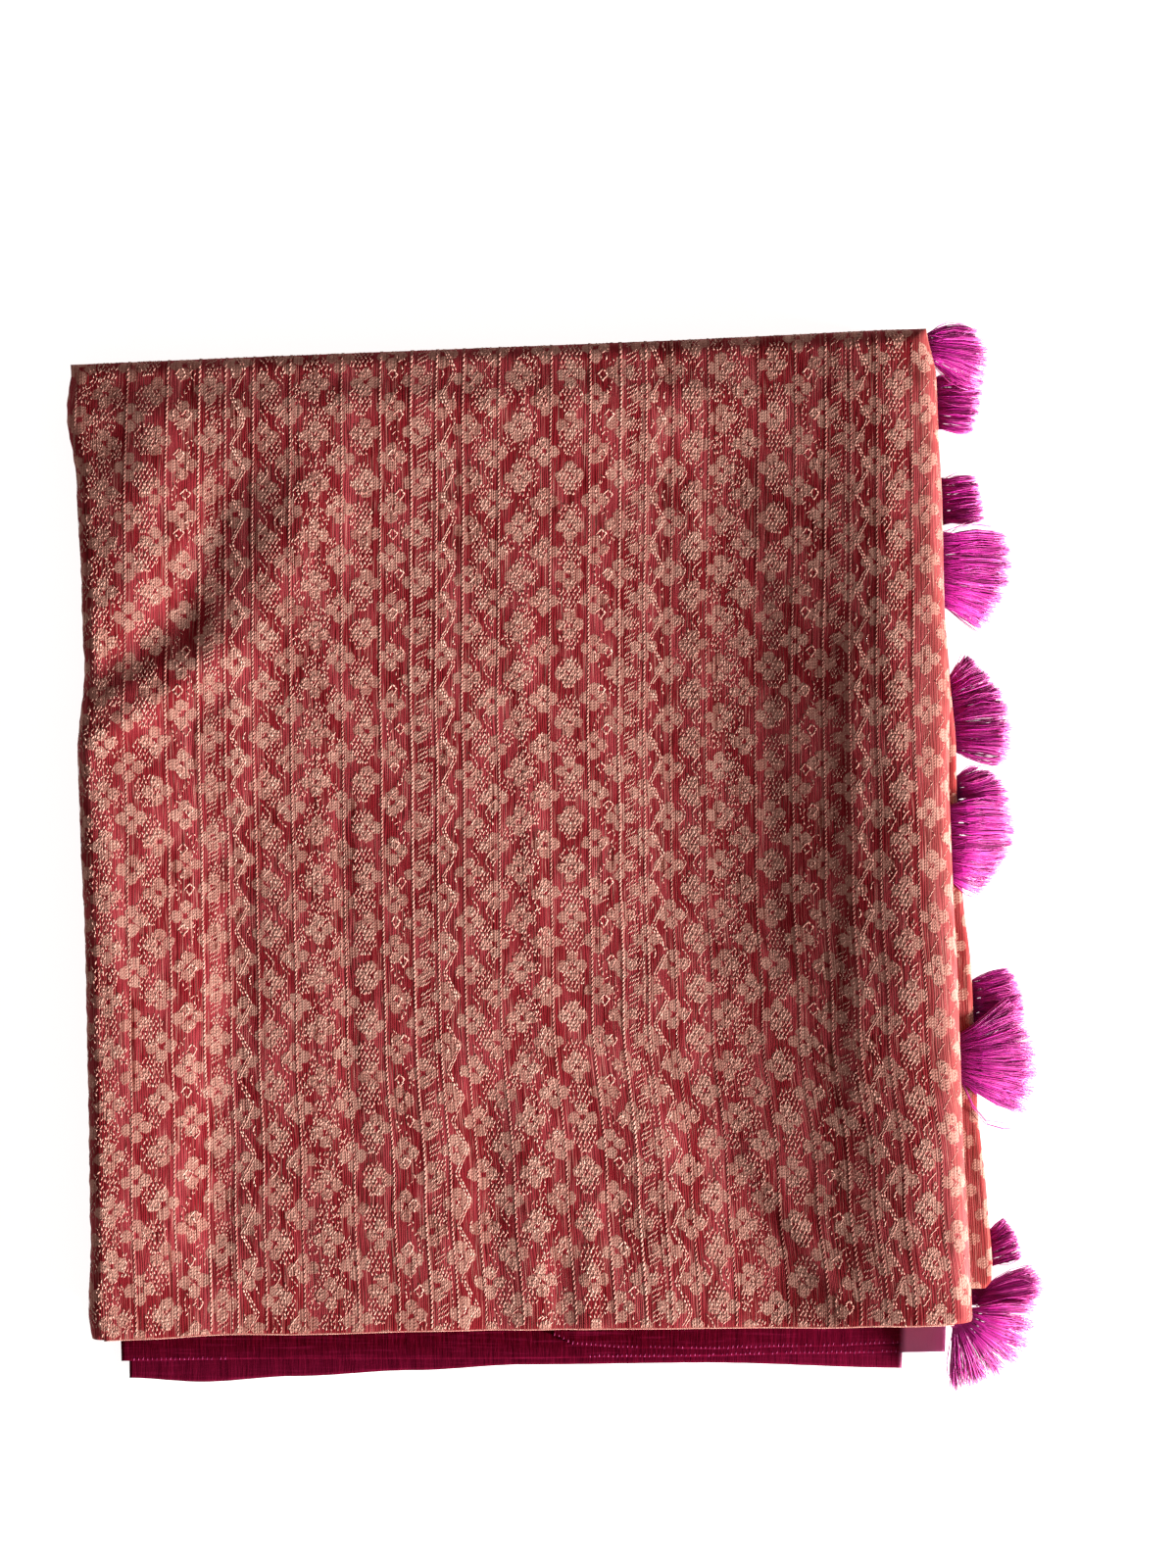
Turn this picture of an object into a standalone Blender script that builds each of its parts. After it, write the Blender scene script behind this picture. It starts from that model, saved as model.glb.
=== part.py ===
"""A saree folded flat into a packet, with a row of silk tassels along one side.

Units are metres, +Z is up. The packet lies on Z = 0, +Y runs along its longer side
and the tassels point to +X. The origin is the centre of the footprint.
"""

import math
import random

import bpy
from mathutils import Vector

MM = 0.001

# The plan below is drawn with the photo's edge lines; this moves it onto the origin
PLAN_SHIFT = (1.0 * MM, -1.65 * MM)

# Cloth and clearances
CLOTH = 1.5 * MM
GAP = 0.3 * MM
STRIP = 1.2 * MM
PLAIN_CLOTH = 1.0 * MM

# Outline of the packet, seen from above
BOTTOM_Y = -0.2745
TOP_Y = 0.2998
BOTTOM_SLOPE = 0.0128
TOP_SLOPE = 0.0392
MIDDLE_X = -0.0265
LEFT_TOP_X = -0.2858
LEFT_BOTTOM_X = -0.2718
RIGHT_TOP_X = 0.2150
RIGHT_BOTTOM_X = 0.2375

# How wide each fold's round is, seen from above, and how much of the height it takes
LEFT_ROUND = 9 * MM
RIGHT_ROUND = 12 * MM
TOP_ROUND = 12 * MM
FOLD_SHARE = 0.24

# Heights
FLAT_HEIGHT = 24.5 * MM
# Long swells by the side folds. The right one rises in two steps: share of its height, from
# and to, as distances inside the right line. Then it falls to the fold.
RIGHT_SWELL_STEPS = (
    (0.86, 0.162, 0.016),
    (0.34, 0.092, 0.020),
)
RIGHT_FALL = 0.20
RIGHT_FALL_FROM = ((-0.275, 10), (-0.080, 13), (0.080, 27), (0.290, 27))
RIGHT_FALL_TO = 0.004
LEFT_SWELL_FROM = -0.160
LEFT_SWELL_TO = -0.290
# Heights of the swells (mm), by place along
RIGHT_SWELL = ((-0.275, 8.0), (-0.150, 9.8), (0.050, 9.8), (0.290, 4.2))
LEFT_SWELL = ((-0.275, 4.2), (-0.200, 7.0), (0.080, 7.8), (0.205, 2.0), (0.250, -1.4), (0.290, -1.6))
# The top stretch falls a little before its upper fold: how much, from and to inside the edge
TOP_FALL = ((-0.290, 2.5), (0.030, 2.2), (0.120, 1.3), (0.230, 1.2))
TOP_FALL_FROM = 0.036
TOP_FALL_TO = 0.008

# Grid of the top stretch, finer over its left part, where the slanting folds lie
ACROSS = 22
FINE_COLUMNS = 9
FINE_PART = 0.30
ALONG = 26

# Slots between the folds, as shares of the packet's height
UPPER_SLOT_FLOOR = 0.430
LOWER_SLOT_ROOF = 0.210
LOWER_SLOT_FLOOR = 0.095
FRONT_STEP = 0.7 * MM

# The second fold
SECOND_FRONT_Y = -0.2502
SECOND_BACK_INSET = 9 * MM
SECOND_ROWS = 18
SECOND_LEG_END = 61 * MM
SECOND_LEG_STEP = 0.6
SECOND_TURNS = (90, 55, 20, -20, -55, -90)
SECOND_ROWS_EASE = 0.10
PAST_SECOND_FRONT = 12 * MM
PAST_SECOND_INSET = 1 * MM

# The tasselled end of the saree
END_EDGE_BACK = 56 * MM
END_EDGE_FRONT = 32 * MM
LOWER_END_EDGE_FRONT = 22 * MM
END_EDGE_ROWS = 14
END_EDGE_FROM_FRONT = 4 * MM
END_EDGE_FROM_TOP = 14 * MM

# Tassels
STRAND_WIDTH = 1.45 * MM
STRAND_THICK = 1.1 * MM
STRAND_PITCH = 2.3 * MM
TASSEL_THICK = 1.7 * MM
NECK_WIDTH = 9 * MM
NECK_SKEW = 0.2 * MM
ROOT_INSET = 5 * MM
TIP_SCALE = 0.62
FLOOR_CLEARANCE = 0.25 * MM
NECK_FROM_FRONT = 9 * MM
NECK_FROM_TOP = 20 * MM
FEWEST_STRANDS = 6
STRAND_SHARES = (0.36, 0.70, 1.0)
STRAND_REACH = (0.90, 1.0)
STRAND_LIFT = (-0.5 * MM, 0.6 * MM)
FACE_TOP_INSET = 0.2 * MM
FACE_BOTTOM_INSET = 0.3 * MM
DROOP = 1.6

# How far the front edge draws back from its straight line: place along X, shift along Y
FRONT_WAVES = (
    (-0.275, 1.6),
    (-0.238, 2.2),
    (-0.193, 3.6),
    (-0.148, 2.8),
    (-0.080, 3.8),
    (0.016, 3.8),
    (0.147, 4.0),
    (0.192, 5.8),
    (0.236, 6.8),
)

# Soft waves of the left and right folds: place along Y, shift of the edge along X
LEFT_WAVES = (
    (0.290, 0.5),
    (0.262, -2.2),
    (0.216, 3.6),
    (0.159, 5.4),
    (0.113, 6.0),
    (0.056, 1.8),
    (0.010, 2.2),
    (-0.046, 3.2),
    (-0.126, 2.8),
    (-0.217, 2.0),
    (-0.263, -0.6),
    (-0.275, 0.6),
)
RIGHT_WAVES = (
    (0.310, -1.4),
    (0.281, 3.0),
    (0.250, 2.8),
    (0.216, 3.2),
    (0.147, 1.8),
    (0.111, 2.6),
    (0.037, -0.2),
    (-0.018, -0.2),
    (-0.060, 0.4),
    (-0.155, 0.2),
    (-0.231, 1.4),
    (-0.262, 1.6),
    (-0.272, 0.2),
)

# How far the second fold stands out past the top one: place along Y, distance
SECOND_PEEP = (
    (0.276, -1.4),
    (0.160, 0.6),
    (0.112, 3.8),
    (0.059, 8.0),
    (-0.013, 9.1),
    (-0.071, 12.0),
    (-0.138, 12.6),
    (-0.196, 15.4),
    (-0.238, 16.6),
    (-0.2465, 15.6),
    (-0.2502, 12.6),
)

# Largest folds of the top stretch: ends on the plan, half width, height (all mm)
FOLDS = (
    # name, x0, y0, x1, y1, half_width, height
    ("slanting trough, lower half", -218, 140, -280, 98, 14, -2.2),
    ("slanting ridge, lower half", -202, 116, -264, 74, 14, 2.1),
    ("slanting trough, upper half", -194, 210, -214, 156, 16, -1.4),
    ("slanting ridge, upper half", -150, 205, -176, 140, 21, 1.7),
    ("upper left swell", -234, 245, -248, 180, 22, 1.9),
    ("ridge past the slanting fold", -184, 108, -190, 62, 22, 1.2),
    ("long trough by the right", 96, 222, 100, -30, 30, -1.3),
    ("long ridge in the middle", -60, 120, -40, -210, 40, 0.7),
    ("low trough in the middle", 42, 210, 62, -40, 34, -0.9),
    ("lower left ridge", -214, -60, -226, -225, 16, 0.5),
    ("lower left trough", -186, -20, -196, -215, 15, -1.2),
    ("lower right trough", 60, -120, 130, -235, 22, -1.1),
    ("lower trough, left of the middle", -42, -140, -38, -268, 15, -1.3),
    ("lower ridge, to the right", 92, -190, 100, -268, 17, 0.6),
    ("pucker at the lower edge", 0, -235, 2, -278, 8, -0.7),
    ("ridge along the right fold", 200, 245, 203, -70, 26, 1.0),
    ("long lower left trough", -208, 55, -212, -225, 24, -0.7),
    ("lower ridge, right of the middle", 62, -70, 66, -268, 28, 1.2),
    ("ridge beside the slanting fold", -136, 225, -140, 75, 30, 0.8),
)

# Round of the folds, from the top down: angle from the level through the fold's middle
FOLD_ANGLES = (58, 32, 8, -16, -42, -70)

# Layered sides of the hidden stretches, from the fold of the top stretch down.
# share is the part of the height; the rest are distances inside each side (mm);
# of_second is 1 where the right side follows the second fold and 0 where it follows the top one.
LAYERS = (
    # name, share, left, top, right, of_second, front
    ("behind the lip", 0.600, 10.4, 13.0, 11.4, 0, 1.2),
    ("roof of the upper slot", 0.530, 11.0, 13.6, 12.2, 0, 1.8),
    ("back of the upper slot", 0.525, 11.6, 14.2, 62.0, 0, 2.6),
    ("floor of the upper slot", 0.368, 6.0, 7.0, 62.0, 0, 1.4),
    ("second fold, upper", 0.360, 3.6, 4.6, 3.9, 1, 0.9),
    ("second fold, middle", 0.320, 2.0, 2.6, 3.4, 1, 0.5),
    ("second fold, lower", 0.281, 3.4, 4.4, 3.9, 1, 1.2),
    ("back of the lower slot", 0.275, 7.0, 8.0, 62.0, 0, 34.0),
    ("floor of the lower slot", LOWER_SLOT_FLOOR, 6.0, 7.0, 62.0, 0, 34.0),
    ("base, upper", 0.088, 3.4, 3.6, 6.6, 1, 2.6),
    ("base, middle", 0.045, 1.8, 2.2, 5.0, 1, 1.0),
    ("base, underside", 0.000, 4.0, 4.6, 7.4, 1, 3.0),
)

# Plain cloth at the lower edge, three layers in the lower slot, from the bottom up.
# Each outer edge is a row of places along X and Y (mm).
PLAIN_INNER_Y = -262 * MM
PLAIN_SINK = 2.4 * MM
PLAIN_SINK_FROM = -271 * MM
PLAIN_SINK_TO = -302 * MM
PLAIN_COLUMNS = 12
PLAIN_ROW_SHARES = (0, 0.25, 0.5, 0.75, 1)
PLAIN_EDGES = (
    (
        "plain_layer_lower",
        ((-255.1, -307.4), (-212.0, -309.8), (-156.5, -306.5), (-87.5, -303.0)),
        ((-20.0, -299.6), (87.0, -298.4), (202.9, -301.3)),
    ),
    (
        "plain_layer_middle",
        ((-259.4, -296.8), (-156.3, -295.7), (-60.0, -295.9)),
        ((60.0, -294.6), (150.0, -292.6), (228.0, -291.0)),
    ),
    (
        "plain_layer_upper",
        ((-4.0, -281.0), (10.0, -286.8), (39.9, -288.6)),
        ((86.2, -289.2), (150.0, -287.6), (202.0, -285.6)),
    ),
)

# Tassels, from the top down (mm). edge is where the bunch comes out of the packet and reach
# where its tips end; each is three places along it. The slot is the one that it hangs from.
TASSELS = (
    {"slot": "upper", "tip_z": 7.0,
     "edge": ((215.9, 309.0), (216.5, 301.9), (217.0, 292.7)),
     "reach": ((239.5, 314.9), (252.8, 299.4), (247.6, 277.5))},
    {"slot": "lower", "tip_z": 1.5,
     "edge": ((221.9, 285.3), (223.1, 269.6), (223.7, 254.5)),
     "reach": ((251.6, 287.2), (249.3, 268.6), (244.6, 253.6))},
    {"slot": "lower", "tip_z": 1.5,
     "edge": ((224.8, 225.6), (225.4, 211.7), (226.0, 197.8)),
     "reach": ((245.8, 227.5), (250.2, 214.8), (251.6, 200.2))},
    {"slot": "upper", "tip_z": 4.6,
     "edge": ((223.4, 192.3), (223.4, 169.9), (223.9, 148.7)),
     "reach": ((262.1, 192.9), (266.6, 168.0), (251.0, 134.4))},
    {"slot": "lower", "tip_z": 1.6,
     "edge": ((230.0, 108.5), (231.8, 86.5), (233.5, 63.9)),
     "reach": ((241.0, 122.0), (265.0, 92.5), (265.6, 58.2))},
    {"slot": "lower", "tip_z": 1.6,
     "edge": ((234.7, 49.4), (234.7, 40.8), (234.7, 31.6)),
     "reach": ((246.2, 54.4), (262.2, 47.0), (267.3, 30.4))},
    {"slot": "upper", "tip_z": 5.6,
     "edge": ((227.4, 32.2), (227.4, 10.4), (227.9, -10.9)),
     "reach": ((265.1, 28.6), (267.3, 10.0), (249.4, -18.8))},
    {"slot": "lower", "tip_z": 1.6,
     "edge": ((243.4, -71.1), (243.9, -85.6), (244.5, -99.5)),
     "reach": ((267.3, -65.2), (273.9, -78.8), (276.0, -95.7))},
    {"slot": "upper", "tip_z": 6.4,
     "edge": ((233.7, -100.9), (234.3, -115.9), (234.8, -130.8)),
     "reach": ((264.9, -80.4), (282.3, -118.3), (272.8, -152.0))},
    {"slot": "lower", "tip_z": 1.8,
     "edge": ((253.8, -218.8), (254.4, -229.3), (254.9, -240.3)),
     "reach": ((262.4, -211.2), (270.6, -222.2), (273.7, -236.0))},
    {"slot": "lower", "tip_z": 1.8,
     "edge": ((251.6, -251.4), (247.6, -257.2), (243.0, -263.0)),
     "reach": ((279.4, -240.0), (287.2, -251.0), (281.6, -264.6))},
    {"slot": "upper", "tip_z": 5.2,
     "edge": ((239.6, -261.6), (238.6, -269.4), (229.6, -272.8)),
     "reach": ((281.0, -264.2), (270.6, -295.5), (232.0, -315.1))},
)

COLOURS = {
    "top_panel": (0.50, 0.13, 0.12),
    "second_fold": (0.50, 0.14, 0.12),
    "hidden_layers": (0.42, 0.10, 0.10),
    "end_edge": (0.46, 0.11, 0.12),
    "plain_layer": (0.18, 0.01, 0.08),
    "tassel": (0.62, 0.04, 0.42),
}


def clear_scene():
    for thing in list(bpy.data.objects):
        bpy.data.objects.remove(thing, do_unlink=True)


def smooth(low, high, value):
    share = min(max((value - low) / (high - low), 0.0), 1.0)
    return share * share * (3 - 2 * share)


def mix(start, end, share):
    return start + (end - start) * share


def read_curve(rows, place):
    """The value of a table of (place, value in mm), in metres, eased between its rows."""
    rows = sorted(rows)
    if place <= rows[0][0]:
        return rows[0][1] * MM
    for (low, first), (high, second) in zip(rows, rows[1:]):
        if place <= high:
            return mix(first, second, smooth(low, high, place)) * MM
    return rows[-1][1] * MM


def bottom_edge(x):
    return BOTTOM_Y + BOTTOM_SLOPE * (x - MIDDLE_X) + read_curve(FRONT_WAVES, x)


def top_edge(x):
    return TOP_Y + TOP_SLOPE * (x - MIDDLE_X)


def along_side(y):
    return (y - BOTTOM_Y) / (TOP_Y - BOTTOM_Y)


def left_edge(y):
    return mix(LEFT_BOTTOM_X, LEFT_TOP_X, along_side(y)) + read_curve(LEFT_WAVES, y)


def right_line(y):
    return mix(RIGHT_BOTTOM_X, RIGHT_TOP_X, along_side(y))


def right_edge(y):
    return right_line(y) + read_curve(RIGHT_WAVES, y)


def second_edge(y):
    return right_edge(y) + read_curve(SECOND_PEEP, y)


def across_share(column):
    """How far across a column of the grid lies, from 0 at the left to 1 at the right."""
    if column <= FINE_COLUMNS:
        return FINE_PART * column / FINE_COLUMNS
    return mix(FINE_PART, 1.0, (column - FINE_COLUMNS) / (ACROSS - FINE_COLUMNS))


def plan_point(across, along, left, right, top, front, of_second=0):
    """A place on the plan, by shares across and along, with each side moved in by a distance."""
    y = mix(BOTTOM_Y + front, TOP_Y - top, along)
    x = MIDDLE_X
    for _ in range(2):
        outer = second_edge(y) if of_second else right_edge(y)
        if of_second and y < SECOND_FRONT_Y + PAST_SECOND_FRONT:
            outer = right_edge(y) - right - PAST_SECOND_INSET
        x = mix(left_edge(y) + left, outer - right, across)
        y = mix(bottom_edge(x) + front, top_edge(x) - top, along)
    return x, y


def fold_height(x, y, x0, y0, x1, y1, half_width, height):
    """Height that one fold adds: a soft ridge or trough along a line, fading at its ends."""
    start = Vector((x0, y0)) * MM
    run = Vector((x1, y1)) * MM - start
    share = (Vector((x, y)) - start).dot(run) / run.length_squared
    nearest = start + run * min(max(share, 0.0), 1.0)
    away = (Vector((x, y)) - nearest).length / (half_width * MM)
    return height * MM * math.exp(-away * away)


def top_height(x, y):
    """Height of the top stretch over the floor, away from its round edges."""
    inside = right_line(y) - x
    rise = sum(part * (1 - smooth(low, high, inside)) for part, high, low in RIGHT_SWELL_STEPS)
    rise -= RIGHT_FALL * (1 - smooth(RIGHT_FALL_TO, read_curve(RIGHT_FALL_FROM, y), inside))
    height = FLAT_HEIGHT + read_curve(RIGHT_SWELL, y) * rise
    rise = 1 - smooth(LEFT_SWELL_TO, LEFT_SWELL_FROM, x)
    height += read_curve(LEFT_SWELL, y) * rise
    height -= read_curve(TOP_FALL, x) * (1 - smooth(TOP_FALL_TO, TOP_FALL_FROM, top_edge(x) - y))
    for _, *fold in FOLDS:
        height += fold_height(x, y, *fold)
    return height


def local_height(x, y):
    """The packet's height at a place, read at the nearest place inside the round edges."""
    y = min(max(y, bottom_edge(x)), top_edge(x) - TOP_ROUND)
    x = min(max(x, left_edge(y) + LEFT_ROUND), right_edge(y) - RIGHT_ROUND)
    return top_height(x, y)


def make_material(name, colour, roughness):
    material = bpy.data.materials.new(name)
    material.use_nodes = True
    shader = material.node_tree.nodes["Principled BSDF"]
    shader.inputs["Base Color"].default_value = (*colour, 1)
    shader.inputs["Roughness"].default_value = roughness
    shader.inputs["Metallic"].default_value = 0
    return material


def triangles(faces):
    """Each quad cut from its lowest corner, so that parallel sheets are cut alike."""
    cut = []
    for face in faces:
        if len(face) != 4:
            cut.append(face)
            continue
        start = face.index(min(face))
        a, b, c, d = face[start:] + face[:start]
        cut += [(a, b, c), (a, c, d)]
    return cut


def make_object(name, points, faces, colour, roughness=0.8):
    mesh = bpy.data.meshes.new(name)
    shift = Vector((*PLAN_SHIFT, 0))
    mesh.from_pydata([tuple(point + shift) for point in points], [], triangles(faces))
    mesh.validate()
    mesh.shade_smooth()
    mesh.set_sharp_from_angle(angle=math.radians(40))
    mesh.materials.append(make_material(name, COLOURS[colour], roughness))
    thing = bpy.data.objects.new(name, mesh)
    bpy.context.scene.collection.objects.link(thing)
    return thing


def sheet_normals(points, faces):
    normals = [Vector() for _ in points]
    for face in faces:
        a, b, c, d = (points[corner] for corner in face)
        across = (c - a).cross(d - b)
        for corner in face:
            normals[corner] += across
    return [normal.normalized() for normal in normals]


def moved_in(points, faces, distance):
    normals = sheet_normals(points, faces)
    return [point - normal * distance for point, normal in zip(points, normals)]


def wall_of(points, faces, thickness):
    """A closed wall from an open sheet: its outer points, the same moved in, and a rim."""
    inner = moved_in(points, faces, thickness)
    count = len(points)
    edges = {(face[i], face[(i + 1) % 4]) for face in faces for i in range(4)}
    rim = [(b, a, a + count, b + count) for a, b in edges if (b, a) not in edges]
    back = [tuple(corner + count for corner in reversed(face)) for face in faces]
    return points + inner, faces + back + sorted(rim)


def grid_faces(columns, rows, first=0):
    """Quads of a grid whose points run up each column."""
    faces = []
    for i in range(columns - 1):
        for j in range(rows - 1):
            a = first + i * rows + j
            faces.append((a, a + rows, a + rows + 1, a + 1))
    return faces


def three_sides():
    """Grid places round the left, top and right sides, as (i, j)."""
    left = [(0, j) for j in range(ALONG + 1)]
    top = [(i, ALONG) for i in range(1, ACROSS)]
    right = [(ACROSS, j) for j in range(ALONG, -1, -1)]
    return left + top + right


def front_side():
    """Grid places along the front side, from right to left, between its corners."""
    return [(i, 0) for i in range(ACROSS - 1, 0, -1)]


def top_sheet():
    """Points and quads of the top stretch: its grid, then its round folds, ring by ring."""
    points = []
    for i in range(ACROSS + 1):
        for j in range(ALONG + 1):
            x, y = plan_point(across_share(i), j / ALONG, LEFT_ROUND, RIGHT_ROUND, TOP_ROUND, 0)
            points.append(Vector((x, y, top_height(x, y))))
    faces = grid_faces(ACROSS + 1, ALONG + 1)
    sides = three_sides()
    inner = [i * (ALONG + 1) + j for i, j in sides]
    for angle in FOLD_ANGLES:
        inset = 1 - math.cos(math.radians(angle))
        share = 1 - FOLD_SHARE * (1 - math.sin(math.radians(angle)))
        ring = []
        for i, j in sides:
            x, y = plan_point(
                across_share(i),
                j / ALONG,
                LEFT_ROUND * inset,
                RIGHT_ROUND * inset,
                TOP_ROUND * inset,
                0,
            )
            ring.append(len(points))
            points.append(Vector((x, y, share * local_height(x, y))))
        for k in range(len(sides) - 1):
            faces.append((inner[k], inner[k + 1], ring[k + 1], ring[k]))
        inner = ring
    return points, faces


def build_top_panel():
    points, faces = top_sheet()
    make_object("top_panel", *wall_of(points, faces, CLOTH), "top_panel")


def ring_faces(inner, outer, skip=0):
    """Quads between two loops that run clockwise from above; the first few may be there already."""
    count = len(inner)
    return [
        (inner[k], inner[(k + 1) % count], outer[(k + 1) % count], outer[k])
        for k in range(skip, count)
    ]


def front_ring(left_end, right_end, angle, lobe):
    """The hidden layers' front side, between the ends of one ring of the folds."""
    places = []
    rise = math.sin(math.radians(angle))
    share = 1 - FOLD_SHARE * (1 - rise)
    for i, _ in front_side():
        x = mix(left_end.x, right_end.x, across_share(i))
        y = bottom_edge(x) + FRONT_STEP * (0.6 + lobe)
        places.append(Vector((x, y, share * local_height(x, y) - (CLOTH + GAP) * rise)))
    return places


def build_hidden_layers():
    """The layers inside the folds, with their edges showing as rounded steps."""
    sheet, faces = top_sheet()
    points = moved_in(sheet, faces, CLOTH + GAP)
    sides = three_sides()
    front = front_side()
    first = (ACROSS + 1) * (ALONG + 1)
    loop = [i * (ALONG + 1) + j for i, j in sides + front]
    for k, angle in enumerate(FOLD_ANGLES):
        ring = list(range(first + k * len(sides), first + (k + 1) * len(sides)))
        start = len(points)
        points += front_ring(points[ring[0]], points[ring[-1]], angle, k % 2)
        around = ring + list(range(start, len(points)))
        faces += ring_faces(loop, around, skip=len(sides) - 1)
        loop = around
    for _, share, left, top, right, of_second, front_inset in LAYERS:
        around = []
        for i, j in sides + front:
            insets = (left * MM, right * MM, top * MM, front_inset * MM)
            x, y = plan_point(across_share(i), j / ALONG, *insets, of_second)
            around.append(len(points))
            points.append(Vector((x, y, share * local_height(x, y))))
        faces += ring_faces(loop, around)
        loop = around
    faces.append(tuple(loop))
    make_object("hidden_layers", points, faces, "hidden_layers")


def build_second_fold():
    """A fold of cloth that opens to the left, round its layers, and peeps out to the right."""
    points = []
    upper, lower = UPPER_SLOT_FLOOR, LOWER_SLOT_ROOF
    middle = (upper + lower) / 2
    back_y = TOP_Y - SECOND_BACK_INSET
    for row in range(SECOND_ROWS + 1):
        share = row / SECOND_ROWS
        eased = share - SECOND_ROWS_EASE * math.sin(2 * math.pi * share) / (2 * math.pi)
        y = mix(SECOND_FRONT_Y, back_y, eased)
        edge = second_edge(y)
        radius = (upper - lower) / 2 * local_height(edge, y)
        leg_end = right_edge(y) - SECOND_LEG_END
        leg_step = mix(leg_end, edge - radius, SECOND_LEG_STEP)
        path = [(leg_end, upper), (leg_step, upper)]
        for angle in SECOND_TURNS:
            turn = math.radians(angle)
            x = edge - radius + radius * math.cos(turn)
            path.append((x, middle + (upper - middle) * math.sin(turn)))
        path += [(leg_step, lower), (leg_end, lower)]
        for x, level in path:
            points.append(Vector((x, y, level * local_height(x, y))))
    faces = [tuple(reversed(face)) for face in grid_faces(SECOND_ROWS + 1, len(path))]
    make_object("second_fold", *wall_of(points, faces, CLOTH), "second_fold")


def build_end_edge(name, floor_share, front_inset):
    """A strip of the saree's end, lying in its slot behind the tassels."""
    points = []
    for row in range(END_EDGE_ROWS + 1):
        front = SECOND_FRONT_Y + END_EDGE_FROM_FRONT
        y = mix(front, TOP_Y - END_EDGE_FROM_TOP, row / END_EDGE_ROWS)
        for x in (right_line(y) - front_inset, right_line(y) - END_EDGE_BACK):
            floor = floor_share * local_height(x, y) + GAP
            points.append(Vector((x, y, floor + STRIP)))
    faces = grid_faces(END_EDGE_ROWS + 1, 2)
    make_object(name, *wall_of(points, faces, STRIP), "end_edge")


def build_plain_layer(order, name, left_half, right_half):
    """A layer of plain cloth that comes out of the packet and sinks towards its outer edge."""
    edge = left_half + right_half
    points = []
    for column in range(PLAIN_COLUMNS + 1):
        x = mix(edge[0][0], edge[-1][0], column / PLAIN_COLUMNS) * MM
        outer_y = read_curve([(place * MM, y) for place, y in edge], x)
        floor = LOWER_SLOT_FLOOR * local_height(x, BOTTOM_Y) + GAP
        for share in PLAIN_ROW_SHARES:
            y = mix(PLAIN_INNER_Y, outer_y, share)
            sink = PLAIN_SINK * smooth(-PLAIN_SINK_FROM, -PLAIN_SINK_TO, -y)
            height = floor + order * (PLAIN_CLOTH + GAP) + PLAIN_CLOTH - sink
            points.append(Vector((x, y, height)))
    faces = grid_faces(PLAIN_COLUMNS + 1, len(PLAIN_ROW_SHARES))
    faces = [tuple(reversed(face)) for face in faces]
    make_object(name, *wall_of(points, faces, PLAIN_CLOTH), "plain_layer", 0.6)


def through_three(places, share):
    """A smooth curve through three places, by a share from 0 to 1."""
    first, second, third = (Vector(place) * MM for place in places)
    near = 2 * (share - 0.5) * (share - 1)
    middle = 4 * share * (1 - share)
    far = 2 * share * (share - 0.5)
    return first * near + second * middle + third * far


def strand_path(root, edge, tip, root_z, tip_z, beyond):
    """Places along a strand: level until it clears what it lies on, then drooping."""
    level = (edge - root).length + beyond
    path = [Vector((root.x, root.y, root_z))]
    for share in STRAND_SHARES:
        place = root.lerp(tip, share)
        reach = (place - root).length
        drop = smooth(level * 0.9, (tip - root).length * 1.25, reach) * DROOP
        path.append(Vector((place.x, place.y, mix(root_z, tip_z, min(drop, 1.0)))))
    return path


def neck_of(edge_inset, y):
    """Where the bunch is sewn to the strip of the saree's end: its two back corners."""
    y = min(max(y, SECOND_FRONT_Y + NECK_FROM_FRONT), TOP_Y - NECK_FROM_TOP)
    x = right_line(y) - edge_inset + GAP + NECK_SKEW
    return [(x, y + NECK_WIDTH / 2), (x, y - NECK_WIDTH / 2)]


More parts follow.
